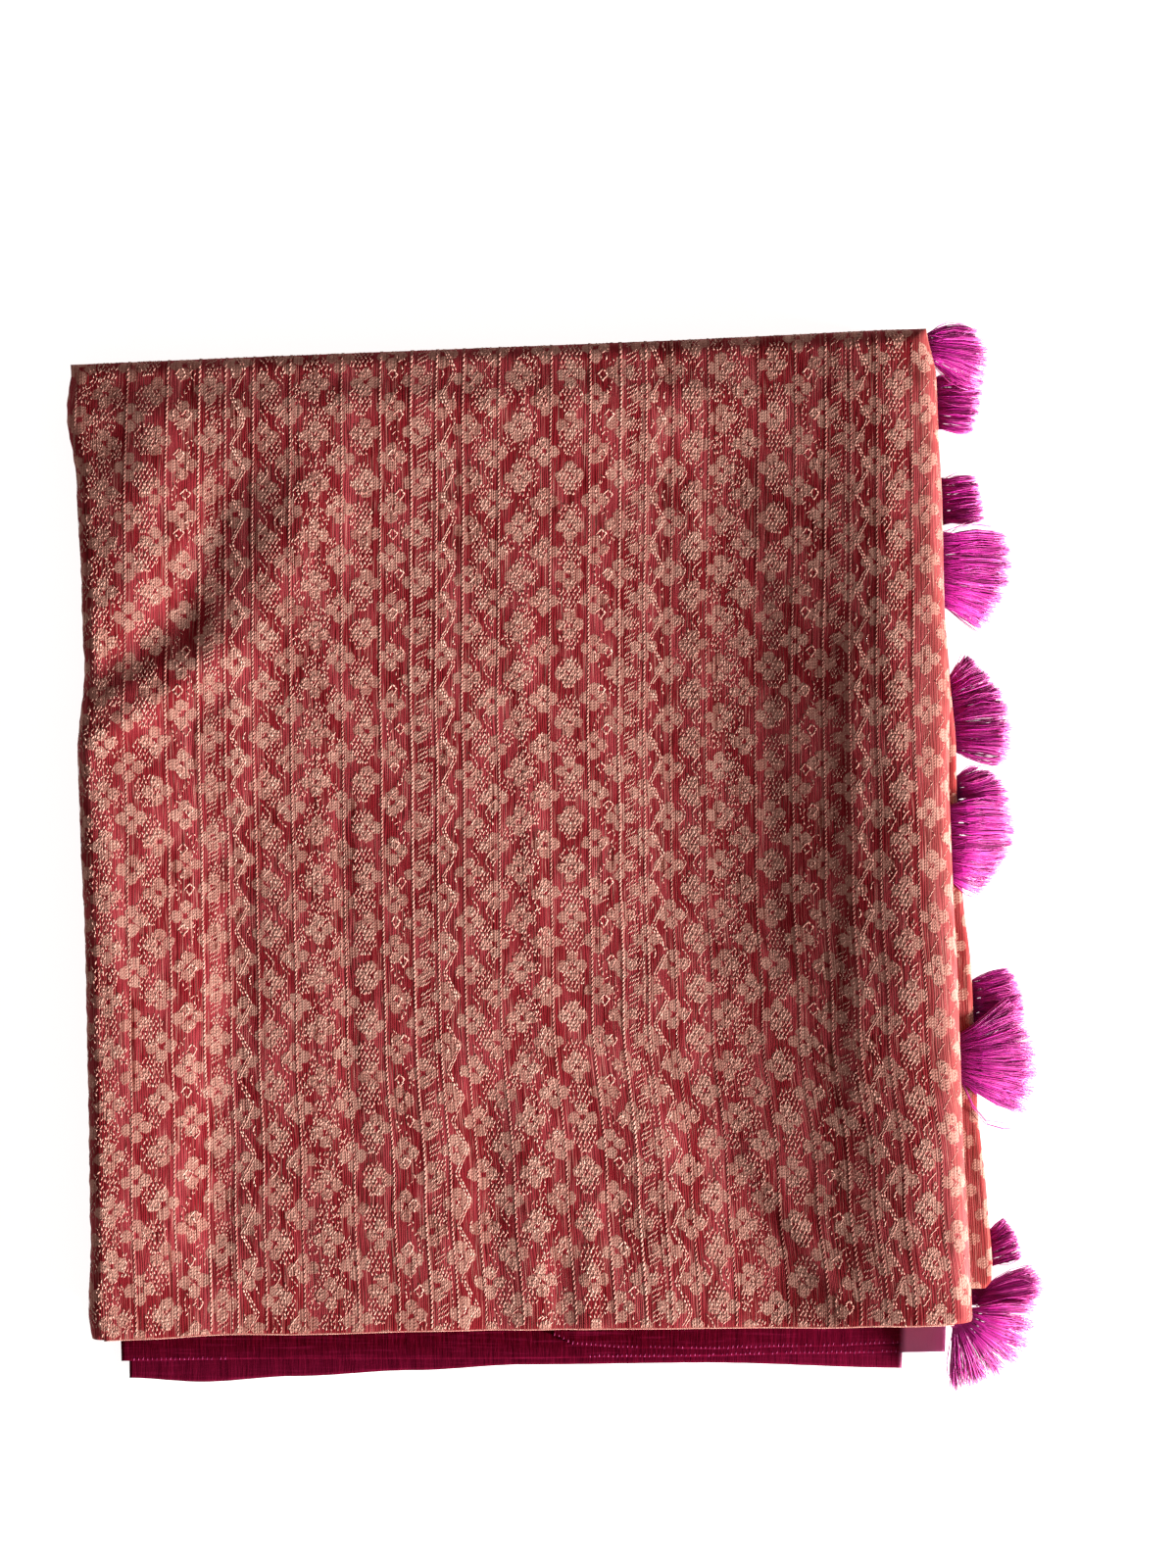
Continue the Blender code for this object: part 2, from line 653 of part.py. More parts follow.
def build_tassel(number, slot, tip_z, edge, reach):
    """A pressed bunch of silk, bound at its neck, with strands fanning from its outer face."""
    chance = random.Random(number)
    upper = slot == "upper"
    middle = through_three(edge, 0.5)
    neck = neck_of(END_EDGE_FRONT if upper else LOWER_END_EDGE_FRONT, middle.y)
    height = max(local_height(*place) for place in [middle, *neck])
    floor = (UPPER_SLOT_FLOOR if upper else LOWER_SLOT_FLOOR) * height + FLOOR_CLEARANCE
    steps = [through_three(edge, k / 10) for k in range(11)]
    width = sum((a - b).length for a, b in zip(steps, steps[1:]))
    count = max(FEWEST_STRANDS, round(width / STRAND_PITCH))
    points = []
    for x, y in neck:
        points += [Vector((x, y, floor + TASSEL_THICK)), Vector((x, y, floor))]
    tops, bottoms, cells = [], [], []
    beyond = 1 * MM
    if upper:
        beyond += max(second_edge(middle.y) - right_edge(middle.y), 0.0)
    root_z = floor + (TASSEL_THICK - FACE_TOP_INSET + FACE_BOTTOM_INSET) / 2
    for k in range(count):
        share = (k + 0.5) / count
        start = through_three(edge, share)
        tip = through_three(reach, share)
        root = start - (tip - start).normalized() * ROOT_INSET
        side = through_three(edge, share + 0.01) - through_three(edge, share - 0.01)
        side = side.normalized() * STRAND_WIDTH / 2
        cell = len(points)
        for z in (floor + TASSEL_THICK - FACE_TOP_INSET, floor + FACE_BOTTOM_INSET):
            for place in (root - side, root + side):
                points.append(Vector((*place, z)))
        tops += [cell, cell + 1]
        bottoms += [cell + 2, cell + 3]
        tip = root + (tip - root) * chance.uniform(*STRAND_REACH)
        lift = chance.uniform(*STRAND_LIFT)
        path = strand_path(root, start, tip, root_z, tip_z * MM + lift, beyond)
        cells.append((cell, path))
    faces = [
        (0, 2, *reversed(tops)),
        (3, 1, *bottoms),
        (2, 0, 1, 3),
        (0, tops[0], bottoms[0], 1),
        (tops[-1], 2, 3, bottoms[-1]),
    ]
    for k in range(1, 2 * count - 1, 2):
        faces.append((tops[k], tops[k + 1], bottoms[k + 1], bottoms[k]))
    for cell, path in cells:
        add_strand(points, faces, cell, path)
    make_object(f"tassel_{number:02d}", points, faces, "tassel", 0.45)


def add_strand(points, faces, cell, path):
    """A four-sided strand from a cell of the bunch's face, thinner towards its tip."""
    ring = [cell, cell + 1, cell + 3, cell + 2]
    for step in range(1, len(path)):
        along = (path[step] - path[step - 1]).normalized()
        side = along.cross(Vector((0, 0, 1))).normalized()
        up = side.cross(along)
        size = mix(1.0, TIP_SCALE, step / (len(path) - 1))
        wide = side * STRAND_WIDTH / 2 * size
        tall = up * STRAND_THICK / 2 * size
        new = []
        for offset in (tall - wide, tall + wide, -tall + wide, -tall - wide):
            new.append(len(points))
            points.append(path[step] + offset)
        for k in range(4):
            faces.append((ring[k], ring[(k + 1) % 4], new[(k + 1) % 4], new[k]))
        ring = new
    faces.append(tuple(ring))


def main():
    clear_scene()
    build_hidden_layers()
    build_top_panel()
    build_second_fold()
    build_end_edge("end_edge_upper", UPPER_SLOT_FLOOR, END_EDGE_FRONT)
    build_end_edge("end_edge_lower", LOWER_SLOT_FLOOR, LOWER_END_EDGE_FRONT)
    for order, layer in enumerate(PLAIN_EDGES):
        build_plain_layer(order, *layer)
    for number, tassel in enumerate(TASSELS, start=1):
        build_tassel(number, **tassel)


main()
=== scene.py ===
"""A folded saree with tassels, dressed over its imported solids.

Lengths are metres. The form of the packet repeats the part's own sizes, so every cloth lies
where its solid is. Cloth places (u, v) are metres along the weft and along the warp.
"""

import math

import bpy
import numpy as np
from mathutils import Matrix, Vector


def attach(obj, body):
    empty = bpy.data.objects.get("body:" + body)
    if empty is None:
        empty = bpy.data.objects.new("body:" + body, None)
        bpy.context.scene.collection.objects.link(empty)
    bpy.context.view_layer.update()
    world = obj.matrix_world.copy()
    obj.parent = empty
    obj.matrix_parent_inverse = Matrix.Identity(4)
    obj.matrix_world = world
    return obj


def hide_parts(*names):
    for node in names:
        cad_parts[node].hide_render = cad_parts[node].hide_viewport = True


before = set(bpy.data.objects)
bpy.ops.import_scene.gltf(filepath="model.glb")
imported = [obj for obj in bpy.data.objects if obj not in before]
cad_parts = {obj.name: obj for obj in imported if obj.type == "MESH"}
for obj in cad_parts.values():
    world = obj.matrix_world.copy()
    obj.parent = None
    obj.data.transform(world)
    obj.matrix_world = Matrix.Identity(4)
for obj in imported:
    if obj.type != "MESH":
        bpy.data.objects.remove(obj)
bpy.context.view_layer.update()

MM = 0.001

# Where the drawn plan lies in the frame
PLAN_SHIFT = (1.0 * MM, -1.65 * MM)

# Camera: it looks straight down, as in the photograph
CAMERA_HEIGHT = 0.95
CAMERA_X = 0.0178
CAMERA_Y = 0.04315
LENS = 36.72
SENSOR_HEIGHT = 36.0

# Cloth and clearances
SHELL = 0.8 * MM
PLAIN_CLOTH = 1.0 * MM
PLAIN_SHELL = 0.8 * MM
GAP = 0.3 * MM
STRIP = 1.2 * MM

# Outline of the packet, seen from above
BOTTOM_Y = -0.2745
TOP_Y = 0.2998
BOTTOM_SLOPE = 0.0128
TOP_SLOPE = 0.0392
MIDDLE_X = -0.0265
LEFT_TOP_X = -0.2858
LEFT_BOTTOM_X = -0.2718
RIGHT_TOP_X = 0.2150
RIGHT_BOTTOM_X = 0.2375

# The round folds: how wide each is, seen from above, and how much of the height it takes
LEFT_ROUND = 9 * MM
RIGHT_ROUND = 12 * MM
TOP_ROUND = 12 * MM
FOLD_SHARE = 0.24
FOLD_TURN = 160
FOLD_STEPS = 12
ARC_OVER_ROUND = 2.25

# Heights
FLAT_HEIGHT = 24.5 * MM
# Long swells by the side folds. The right one rises in two steps: share of its height, from
# and to, as distances inside the right line. Then it falls to the fold.
RIGHT_SWELL_STEPS = ((0.86, 0.162, 0.016), (0.34, 0.092, 0.020))
RIGHT_FALL = 0.13
RIGHT_FALL_FROM = ((-0.275, 10), (-0.080, 13), (0.080, 27), (0.290, 27))
RIGHT_FALL_TO = 0.004
LEFT_SWELL_FROM = -0.160
LEFT_SWELL_TO = -0.290
# Heights of the swells (mm), by place along
RIGHT_SWELL = ((-0.275, 8.0), (-0.150, 9.8), (0.050, 9.8), (0.290, 4.2))
LEFT_SWELL = (
    (-0.275, 4.2), (-0.200, 7.0), (0.080, 7.8), (0.205, 2.0), (0.250, -1.4), (0.290, -1.6),
)
# The top stretch falls a little before its upper fold: how much, from and to inside the edge
TOP_FALL = ((-0.290, 2.5), (0.030, 2.2), (0.120, 1.3), (0.230, 1.2))
TOP_FALL_FROM = 0.036
TOP_FALL_TO = 0.008

# Grid of the top stretch
ACROSS = 160
ALONG = 168
LIP = 1.2 * MM
LIP_TURNS = (30, 60, 90, 120)
LIP_PLACE_STEP = 0.4 * MM
FRONT_EDGE_V = -0.300
# Small ripples along the left-hand fold: depth, and the lengths of a short and a long one
RIPPLE = 0.45 * MM
SHORT_RIPPLE = 1.75 * MM
LONG_RIPPLE = 3.3 * MM
LONG_RIPPLE_SHARE = 0.7

# Slots between the folds, as shares of the packet's height
UPPER_SLOT_FLOOR = 0.430
LOWER_SLOT_ROOF = 0.210
LOWER_SLOT_FLOOR = 0.095

# The second fold and the end of the saree
SECOND_FRONT_Y = -0.2502
SECOND_BACK_INSET = 9 * MM
SECOND_ROWS = 150
SECOND_TURNS = 12
SECOND_LEG_END = 61 * MM
SECOND_LEG_POINTS = 8
SECOND_PLACE_SHIFT = 0.1
PAST_SECOND_FRONT = 2 * MM
PAST_SECOND_INSET = 1 * MM
END_EDGE_BACK = 56 * MM
END_EDGE_FRONT = 32 * MM
LOWER_END_EDGE_FRONT = 22 * MM
END_EDGE_FROM_FRONT = 4 * MM
END_EDGE_FROM_TOP = 14 * MM
END_EDGE_ROWS = 60
END_EDGE_COLUMNS = 7
END_PLACE_SHIFT = 0.3
NECK_WIDTH = 9 * MM
NECK_FILL = 0.9
NECK_FROM_FRONT = 9 * MM
NECK_FROM_TOP = 20 * MM

# How far the front edge draws back from its straight line: place along X, shift along Y
FRONT_WAVES = (
    (-0.275, 1.6),
    (-0.238, 2.2),
    (-0.193, 3.6),
    (-0.148, 2.8),
    (-0.080, 3.8),
    (0.016, 3.8),
    (0.147, 4.0),
    (0.192, 5.8),
    (0.236, 6.8),
)

# Soft waves of the left and right folds: place along Y, shift of the edge along X (mm)
LEFT_WAVES = (
    (0.290, 0.5),
    (0.262, -2.2),
    (0.216, 3.6),
    (0.159, 5.4),
    (0.113, 6.0),
    (0.056, 1.8),
    (0.010, 2.2),
    (-0.046, 3.2),
    (-0.126, 2.8),
    (-0.217, 2.0),
    (-0.263, -0.6),
    (-0.275, 0.6),
)
RIGHT_WAVES = (
    (0.310, -1.4),
    (0.281, 3.0),
    (0.250, 2.8),
    (0.216, 3.2),
    (0.147, 1.8),
    (0.111, 2.6),
    (0.037, -0.2),
    (-0.018, -0.2),
    (-0.060, 0.4),
    (-0.155, 0.2),
    (-0.231, 1.4),
    (-0.262, 1.6),
    (-0.272, 0.2),
)

# How far the second fold stands out past the top one: place along Y, distance (mm)
SECOND_PEEP = (
    (0.276, -1.4),
    (0.160, 0.6),
    (0.112, 3.8),
    (0.059, 8.0),
    (-0.013, 9.1),
    (-0.071, 12.0),
    (-0.138, 12.6),
    (-0.196, 15.4),
    (-0.238, 16.6),
    (-0.2465, 15.6),
    (-0.2502, 12.6),
)

# Largest folds of the top stretch: ends on the plan, half width, height (mm)
FOLDS = (
    # name, x0, y0, x1, y1, half_width, height
    ("slanting trough, lower half", -218, 140, -280, 98, 14, -2.2),
    ("slanting ridge, lower half", -202, 116, -264, 74, 14, 2.1),
    ("slanting trough, upper half", -194, 210, -214, 156, 16, -1.4),
    ("slanting ridge, upper half", -150, 205, -176, 140, 21, 1.7),
    ("upper left swell", -234, 245, -248, 180, 22, 1.9),
    ("ridge past the slanting fold", -184, 108, -190, 62, 22, 1.2),
    ("long trough by the right", 96, 222, 100, -30, 30, -1.3),
    ("long ridge in the middle", -60, 120, -40, -210, 40, 0.7),
    ("low trough in the middle", 42, 210, 62, -40, 34, -0.9),
    ("lower left ridge", -214, -60, -226, -225, 16, 0.5),
    ("lower left trough", -186, -20, -196, -215, 15, -1.2),
    ("lower right trough", 60, -120, 130, -235, 22, -1.1),
    ("lower trough, left of the middle", -42, -140, -38, -268, 15, -1.3),
    ("lower ridge, to the right", 92, -190, 100, -268, 17, 0.6),
    ("pucker at the lower edge", 0, -235, 2, -278, 8, -0.7),
    ("ridge along the right fold", 200, 245, 203, -70, 26, 1.0),
    ("long lower left trough", -208, 55, -212, -225, 24, -0.7),
    ("lower ridge, right of the middle", 62, -70, 66, -268, 28, 1.2),
    ("ridge beside the slanting fold", -136, 225, -140, 75, 30, 0.8),
)

# Smaller creases of the top stretch (mm)
CREASES = (
    # name, x0, y0, x1, y1, half_width, height
    ("soft crease by the left fold", -262, 30, -250, -120, 6, 0.5),
    ("upper crease of the slanting fold", -214, 196, -270, 136, 6, 0.4),
    ("lower crease of the slanting fold", -222, 108, -268, 78, 5, -0.5),
    ("short crease under the slanting fold", -180, 96, -232, 52, 6, 0.3),
    ("long soft crease, left of the middle", -128, 60, -118, -170, 7, -0.4),
    ("long soft crease, in the middle", -22, 150, -8, -120, 8, 0.4),
    ("long soft crease, right of the middle", 78, 215, 84, -20, 8, 0.5),
    ("crease along the right swell", 118, 160, 124, -60, 9, -0.6),
    ("second crease along the right swell", 168, 120, 172, -140, 8, 0.5),
    ("crease by the right fold", 196, 240, 200, 60, 6, -0.4),
    ("lower crease, to the right", 112, -170, 168, -262, 7, 0.5),
    ("lower crease, in the middle", 22, -190, 16, -268, 6, 0.4),
    ("lower crease, to the left", -150, -200, -142, -268, 7, -0.4),
    ("crease by the upper edge, left", -120, 272, -40, 262, 7, 0.4),
    ("crease by the upper edge, right", 60, 282, 150, 274, 7, -0.4),
)

# Layered edges of the stretches inside: share of the height, insets from each side (mm),
# and whether the right side follows the second fold (1) or the top one (0)
LAYERS = (
    # name, share, left, top, right, of_second, front
    ("behind the lip", 0.600, 10.4, 13.0, 11.4, 0, 1.2),
    ("roof of the upper slot", 0.530, 11.0, 13.6, 12.2, 0, 1.8),
    ("back of the upper slot", 0.525, 11.6, 14.2, 62.0, 0, 2.6),
    ("floor of the upper slot", 0.368, 6.0, 7.0, 62.0, 0, 1.4),
    ("second fold, upper", 0.360, 3.6, 4.6, 3.9, 1, 0.9),
    ("second fold, middle", 0.320, 2.0, 2.6, 3.4, 1, 0.5),
    ("second fold, lower", 0.281, 3.4, 4.4, 3.9, 1, 1.2),
    ("back of the lower slot", 0.275, 7.0, 8.0, 62.0, 0, 34.0),
    ("floor of the lower slot", LOWER_SLOT_FLOOR, 6.0, 7.0, 62.0, 0, 34.0),
    ("base, upper", 0.088, 3.4, 3.6, 6.6, 1, 2.6),
    ("base, middle", 0.045, 1.8, 2.2, 5.0, 1, 1.0),
    ("base, underside", 0.000, 4.0, 4.6, 7.4, 1, 3.0),
)
LAYER_PITCH = 1.25 * MM
LAYER_GROOVE = 0.55 * MM
# One layer's edge: share of the way down it, share of the groove's depth
LAYER_PROFILE = ((0.12, 0.0), (0.5, -0.35), (0.88, 0.0), (1.0, 1.0))
# Layers under the top cloth's round fold: share where they start, insets behind it and from
# the front (mm), and how far down the round they follow it
ROUND_LAYERS_FROM = 0.955
BEHIND_TOP_CLOTH = 2
ROUND_LAYERS_FRONT = 0.6
LOWEST_RISE = -0.94
# Insets that change by more than this (mm) are a slot's roof or floor, which has no grooves
SLOT_STEP = 6

# Plain cloth at the lower edge, three layers from the bottom up (mm)
PLAIN_INNER_Y = -262 * MM
PLAIN_SINK = 2.4 * MM
PLAIN_SINK_FROM = -271 * MM
PLAIN_SINK_TO = -302 * MM
PLAIN_COLUMNS = 230
PLAIN_ROWS = 22
# Ripples of the plain cloth: depth, and two wave numbers (radians a metre)
PLAIN_RIPPLE = 0.12 * MM
PLAIN_RIPPLE_TURNS = (410, 93)
PLAIN_EDGES = (
    (
        "plain_layer_lower",
        ((-255.1, -307.4), (-212.0, -309.8), (-156.5, -306.5), (-87.5, -303.0)),
        ((-20.0, -299.6), (87.0, -298.4), (202.9, -301.3)),
    ),
    (
        "plain_layer_middle",
        ((-259.4, -296.8), (-156.3, -295.7), (-60.0, -295.9)),
        ((60.0, -294.6), (150.0, -292.6), (228.0, -291.0)),
    ),
    (
        "plain_layer_upper",
        ((-4.0, -281.0), (10.0, -286.8), (39.9, -288.6)),
        ((86.2, -289.2), (150.0, -287.6), (202.0, -285.6)),
    ),
)
# Stitches: pitch, inset from the edge (mm), share left out, and scatter of their places (mm),
# slants (middle, scatter), lengths and widths (mm, least and most)
STITCH_PITCH = 2.7 * MM
STITCH_INSET = 1.1
STITCHES_LEFT_OUT = 0.12
STITCH_SCATTER = 0.15
STITCH_SLANT = (4, 7)
STITCH_LENGTH = (1.5, 2.5)
STITCH_WIDTH = (0.6, 0.9)
# Where the stitches show along each layer (mm)
STITCHED = {
    "plain_layer_middle": ((-252.0, -196.0), (18.0, 202.0)),
    "plain_layer_upper": ((-3.0, 203.0),),
}

# The printed flowers: pitches of their staggered columns and rows, petals, place of one flower
PRINT_COLUMN = 14.6 * MM
PRINT_ROW = 28.56 * MM
PETAL_REACH = 4.9 * MM
PETAL_RADIUS = 3.5 * MM
PRINT_U = 5.3 * MM
PRINT_V = -5.3 * MM
PRINT_SKEW = 0.040
# They wander off their columns and rows: scale and detail of the noise, reach
PRINT_WANDER_ACROSS = (130, 1, 2.2 * MM)
PRINT_WANDER_ALONG = (175, 2, 3.0 * MM)
# The columns sway, past a place across: wave number (radians a metre), start, from, to, reach
PRINT_SWAY_TURN = 26.2
PRINT_SWAY_START = 0.157
PRINT_SWAY_RANGE = (-0.02, 0.04)
PRINT_SWAY = 1.5 * MM
# A petal's outline is lobed: scale and detail of the noise, share of the radius
PETAL_LOBES = (460, 1, 0.75)
PETAL_OUTLINE = (1.08, 0.88)
HEART_OUTLINE = (1.5 * MM, 0.7 * MM)

# Tassels, from the top down (mm): edge is where the bunch comes out of the packet and reach
# where its tips end; each is three places along it
TASSELS = (
    {"slot": "upper", "tip_z": 7.0,
     "edge": ((215.9, 309.0), (216.5, 301.9), (217.0, 292.7)),
     "reach": ((239.5, 314.9), (252.8, 299.4), (247.6, 277.5))},
    {"slot": "lower", "tip_z": 1.5,
     "edge": ((221.9, 285.3), (223.1, 269.6), (223.7, 254.5)),
     "reach": ((251.6, 287.2), (249.3, 268.6), (244.6, 253.6))},
    {"slot": "lower", "tip_z": 1.5,
     "edge": ((224.8, 225.6), (225.4, 211.7), (226.0, 197.8)),
     "reach": ((245.8, 227.5), (250.2, 214.8), (251.6, 200.2))},
    {"slot": "upper", "tip_z": 4.6,
     "edge": ((223.4, 192.3), (223.4, 169.9), (223.9, 148.7)),
     "reach": ((262.1, 192.9), (266.6, 168.0), (251.0, 134.4))},
    {"slot": "lower", "tip_z": 1.6,
     "edge": ((230.0, 108.5), (231.8, 86.5), (233.5, 63.9)),
     "reach": ((241.0, 122.0), (265.0, 92.5), (265.6, 58.2))},
    {"slot": "lower", "tip_z": 1.6,
     "edge": ((234.7, 49.4), (234.7, 40.8), (234.7, 31.6)),
     "reach": ((246.2, 54.4), (262.2, 47.0), (267.3, 30.4))},
    {"slot": "upper", "tip_z": 5.6,
     "edge": ((227.4, 32.2), (227.4, 10.4), (227.9, -10.9)),
     "reach": ((265.1, 28.6), (267.3, 10.0), (249.4, -18.8))},
    {"slot": "lower", "tip_z": 1.6,
     "edge": ((243.4, -71.1), (243.9, -85.6), (244.5, -99.5)),
     "reach": ((267.3, -65.2), (273.9, -78.8), (276.0, -95.7))},
    {"slot": "upper", "tip_z": 6.4,
     "edge": ((233.7, -100.9), (234.3, -115.9), (234.8, -130.8)),
     "reach": ((264.9, -80.4), (282.3, -118.3), (272.8, -152.0))},
    {"slot": "lower", "tip_z": 1.8,
     "edge": ((253.8, -218.8), (254.4, -229.3), (254.9, -240.3)),
     "reach": ((262.4, -211.2), (270.6, -222.2), (273.7, -236.0))},
    {"slot": "lower", "tip_z": 1.8,
     "edge": ((251.6, -251.4), (247.6, -257.2), (243.0, -263.0)),
     "reach": ((279.4, -240.0), (287.2, -251.0), (281.6, -264.6))},
    {"slot": "upper", "tip_z": 5.2,
     "edge": ((239.6, -261.6), (238.6, -269.4), (229.6, -272.8)),
     "reach": ((281.0, -264.2), (270.6, -295.5), (232.0, -315.1))},
)
STRANDS_PER_MM = 34
# A bunch that fans out has more threads: shares of its widths at the edge and at the tips
EDGE_WIDTH_SHARE = 0.55
TIP_WIDTH_SHARE = 0.28
STRAND_RADIUS = 0.23 * MM
STRAND_SIZES = (0.7, 1.25)
STRAND_CLEAR = 0.1 * MM
# Places along a thread: 0 at the neck, 1 at the packet's edge, 2 at the tip
STRAND_SHARES = (0.0, 1.0, 1.28, 1.56, 1.82, 2.0)
# Threads draw together in locks: width of a lock (mm), fewest, and how far they are drawn
LOCK_WIDTH = 1.2
FEWEST_LOCKS = 10
LOCK_PULL = 0.6
# Scatter of the tips, least length, and bows of threads, of locks and of stray threads
TIP_SCATTER = 0.02
LEAST_LENGTH = 0.72
LENGTH_EASE = 0.6
STRAND_BOW = 0.035
LOCK_BOW = 0.09
LOCK_BOW_TURN = 37
BOW_TURN = 0.8
STRAY_BOW = 0.16
STRAYS_OVER = 0.965
# Heights of a bunch over its slot (mm): at its root, and past the edge
ROOT_HEIGHT = 1.5
TIP_RISE = 0.6
TIP_HEIGHT = 2.4
STRAY_RISE = 1.5
MIDDLE_SWELL = 2.0
# The lowest thread, as a share of a bunch's height, and the level about which they swell or sag
LOWEST_THREAD = 0.15
SWELL_LEVEL = 0.3
# Where a thread rises or sinks from its root's height to its tip's, as shares of the way out
RISE_FROM = 0.8
RISE_TO = 1.05
# A thread is thinner past this place along it, by this share
TAPER_FROM = 1.9
TIP_TAPER = 0.45

# The weave's bands across the cloth, from left to right, and their motifs' repeats (mm)
BAND_START = -35.3
BANDS = (
    # name, width, repeat, place of a motif along the warp
    ("flowers", 29.5, 28.4, 168.0),
    ("rosettes", 22.2, 22.3, 154.6),
    ("diamonds", 17.5, 45.2, 167.3),
    ("snow_dots", 14.5, 28.4, 167.3),
    ("zigzags", 15.3, 27.9, 170.6),
    ("hourglasses", 20.5, 28.3, 168.3),
)
BAND_REPEATS = (-2, -1, 0, 1, 2)
# The cloth's length along the warp, on which the weave is laid (mm)
WARP_FROM = -300
WARP_TO = 340
# Of each kind of float: share left out, scatter (mm); then least and most size
FLOWER_FLOATS = (0.12, 0.32)
OTHER_FLOATS = (0.04, 0.14)
FLOAT_SIZES = (0.9, 1.25)
# They scatter more along than across, and turn by this for each mm of scatter (degrees)
SCATTER_ALONG = 1.3
SCATTER_TURN = 40
# Heights of floats, cords and stitches over the cloth, and how deep they sit in it (mm)
FLOAT_HEIGHT = (0.10, 0.02)
CORD_HEIGHT = (0.16, 0.03)
STITCH_HEIGHT = (0.12, 0.04)

# Twisted cords between the bands: pitch and length of their turns (mm), slant, widths (mm) by
# band; those past a line are thinner
CORD_PITCH = 2.5
CORD_LENGTH = 3.2
CORD_SLANT = 17
CORD_WIDTHS = (0.95, 0.95, 1.1, 1.5, 1.15, 1.05)
THIN_CORDS_FROM = 60
THIN_CORD = 0.72
# Each starts a little past its neighbour, and the last lies just past the roll's line (mm)
CORD_STAGGER = 0.6
CORDS_PAST_ROLL = 2

# Past this line the right-hand fold rolls over, and no floats are woven (mm)
ROLL_FROM = 203
# Two fine zigzag threads on the roll: distance past the line, first place; then step, turn,
# length, width and pitch of their floats (mm)
ROLL_THREADS = ((5.5, -300.0), (13.0, -307.0))
ROLL_THREAD_STEP = 7.1
ROLL_THREAD_TURN = 4.4
ROLL_FLOATS = (2.4, 0.42, 2.5)
# Floats stay off the front edge, and end this far round the folds
FRONT_CLEAR = 0.8 * MM
ROUND_LEFT = 17 * MM
ROUND_RIGHT = 22 * MM
ROUND_TOP = 22 * MM

# How the bands lean in the folded cloth: shift across (mm), by place along and across
LEAN_COLUMNS = (-245, -155, -35, 84, 136, 203)
LEAN = (
    # place along, shifts across
    (260, (-5.8, -1.0, 0.6, 2.6, 1.0, -0.6)),
    (100, (-5.4, -0.5, 0.0, 0.8, -1.5, -0.9)),
    (0, (-3.3, 1.1, 1.1, 1.7, -0.6, 1.7)),
    (-90, (-1.6, 2.8, 2.0, 5.1, 2.8, 6.6)),
    (-188, (-0.7, 6.0, 9.8, 13.7, 13.2, 15.9)),
    (-266, (1.0, 8.0, 14.8, 19.0, 20.1, 22.5)),
)
# The weft's rows lie closer at the back and stretch out towards the front, and they bow there
STRETCH_SQUARE = 0.88
STRETCH_CUBE = -0.40
BOW = 1.96
BOW_MIDDLE_X = -25 * MM
BOW_BASE = -3.2
BOW_FROM = 160 * MM
BOW_TO = -150 * MM
# The curves of the stretch and the bow count in tenths of a metre
CLIMB_UNIT = 0.1
# A slight wobble of the bands: its size, and wave numbers along and across (radians a metre)
LEAN_WOBBLE = 0.35 * MM
LEAN_WOBBLE_TURNS = ((61, 23), (17, -5))


def smooth(low, high, value):
    share = np.clip((value - low) / (high - low), 0, 1)
    return share * share * (3 - 2 * share)


def mix(start, end, share):
    return start + (end - start) * share


def read_curve(rows, place):
    """The values, in metres, of a table of (place, value in mm), eased between its rows."""
    places, values = np.array(sorted(rows), float).T
    place = np.clip(place, places[0], places[-1])
    row = np.clip(np.searchsorted(places, place, side="right") - 1, 0, len(places) - 2)
    eased = smooth(places[row], places[row + 1], place)
    return mix(values[row], values[row + 1], eased) * MM


def bottom_edge(x):
    return BOTTOM_Y + BOTTOM_SLOPE * (x - MIDDLE_X) + read_curve(FRONT_WAVES, x)


def top_edge(x):
    return TOP_Y + TOP_SLOPE * (x - MIDDLE_X)


def along_side(y):
    return (y - BOTTOM_Y) / (TOP_Y - BOTTOM_Y)


def left_edge(y):
    return mix(LEFT_BOTTOM_X, LEFT_TOP_X, along_side(y)) + read_curve(LEFT_WAVES, y)


def right_line(y):
    return mix(RIGHT_BOTTOM_X, RIGHT_TOP_X, along_side(y))


def right_edge(y):
    return right_line(y) + read_curve(RIGHT_WAVES, y)


def second_edge(y):
    return right_edge(y) + read_curve(SECOND_PEEP, y)


def plan_point(across, along, left, right, top, front, of_second=0):
    """Places on the plan, by shares across and along, with each side moved in by a distance."""
    y = mix(BOTTOM_Y + front, TOP_Y - top, along)
    for _ in range(2):
        outer = right_edge(y)
        if of_second:
            past = y < SECOND_FRONT_Y + PAST_SECOND_FRONT
            outer = np.where(past, outer - right - PAST_SECOND_INSET, second_edge(y))
        x = mix(left_edge(y) + left, outer - right, across)
        y = mix(bottom_edge(x) + front, top_edge(x) - top, along)
    return x, y


def fold_height(x, y, x0, y0, x1, y1, half_width, height):
    """Height that one fold adds: a soft ridge or trough along a line, fading at its ends."""
    run_x, run_y = (x1 - x0) * MM, (y1 - y0) * MM
    share = ((x - x0 * MM) * run_x + (y - y0 * MM) * run_y) / (run_x**2 + run_y**2)
    share = np.clip(share, 0, 1)
    away = np.hypot(x - x0 * MM - share * run_x, y - y0 * MM - share * run_y)
    return height * MM * np.exp(-((away / (half_width * MM)) ** 2))


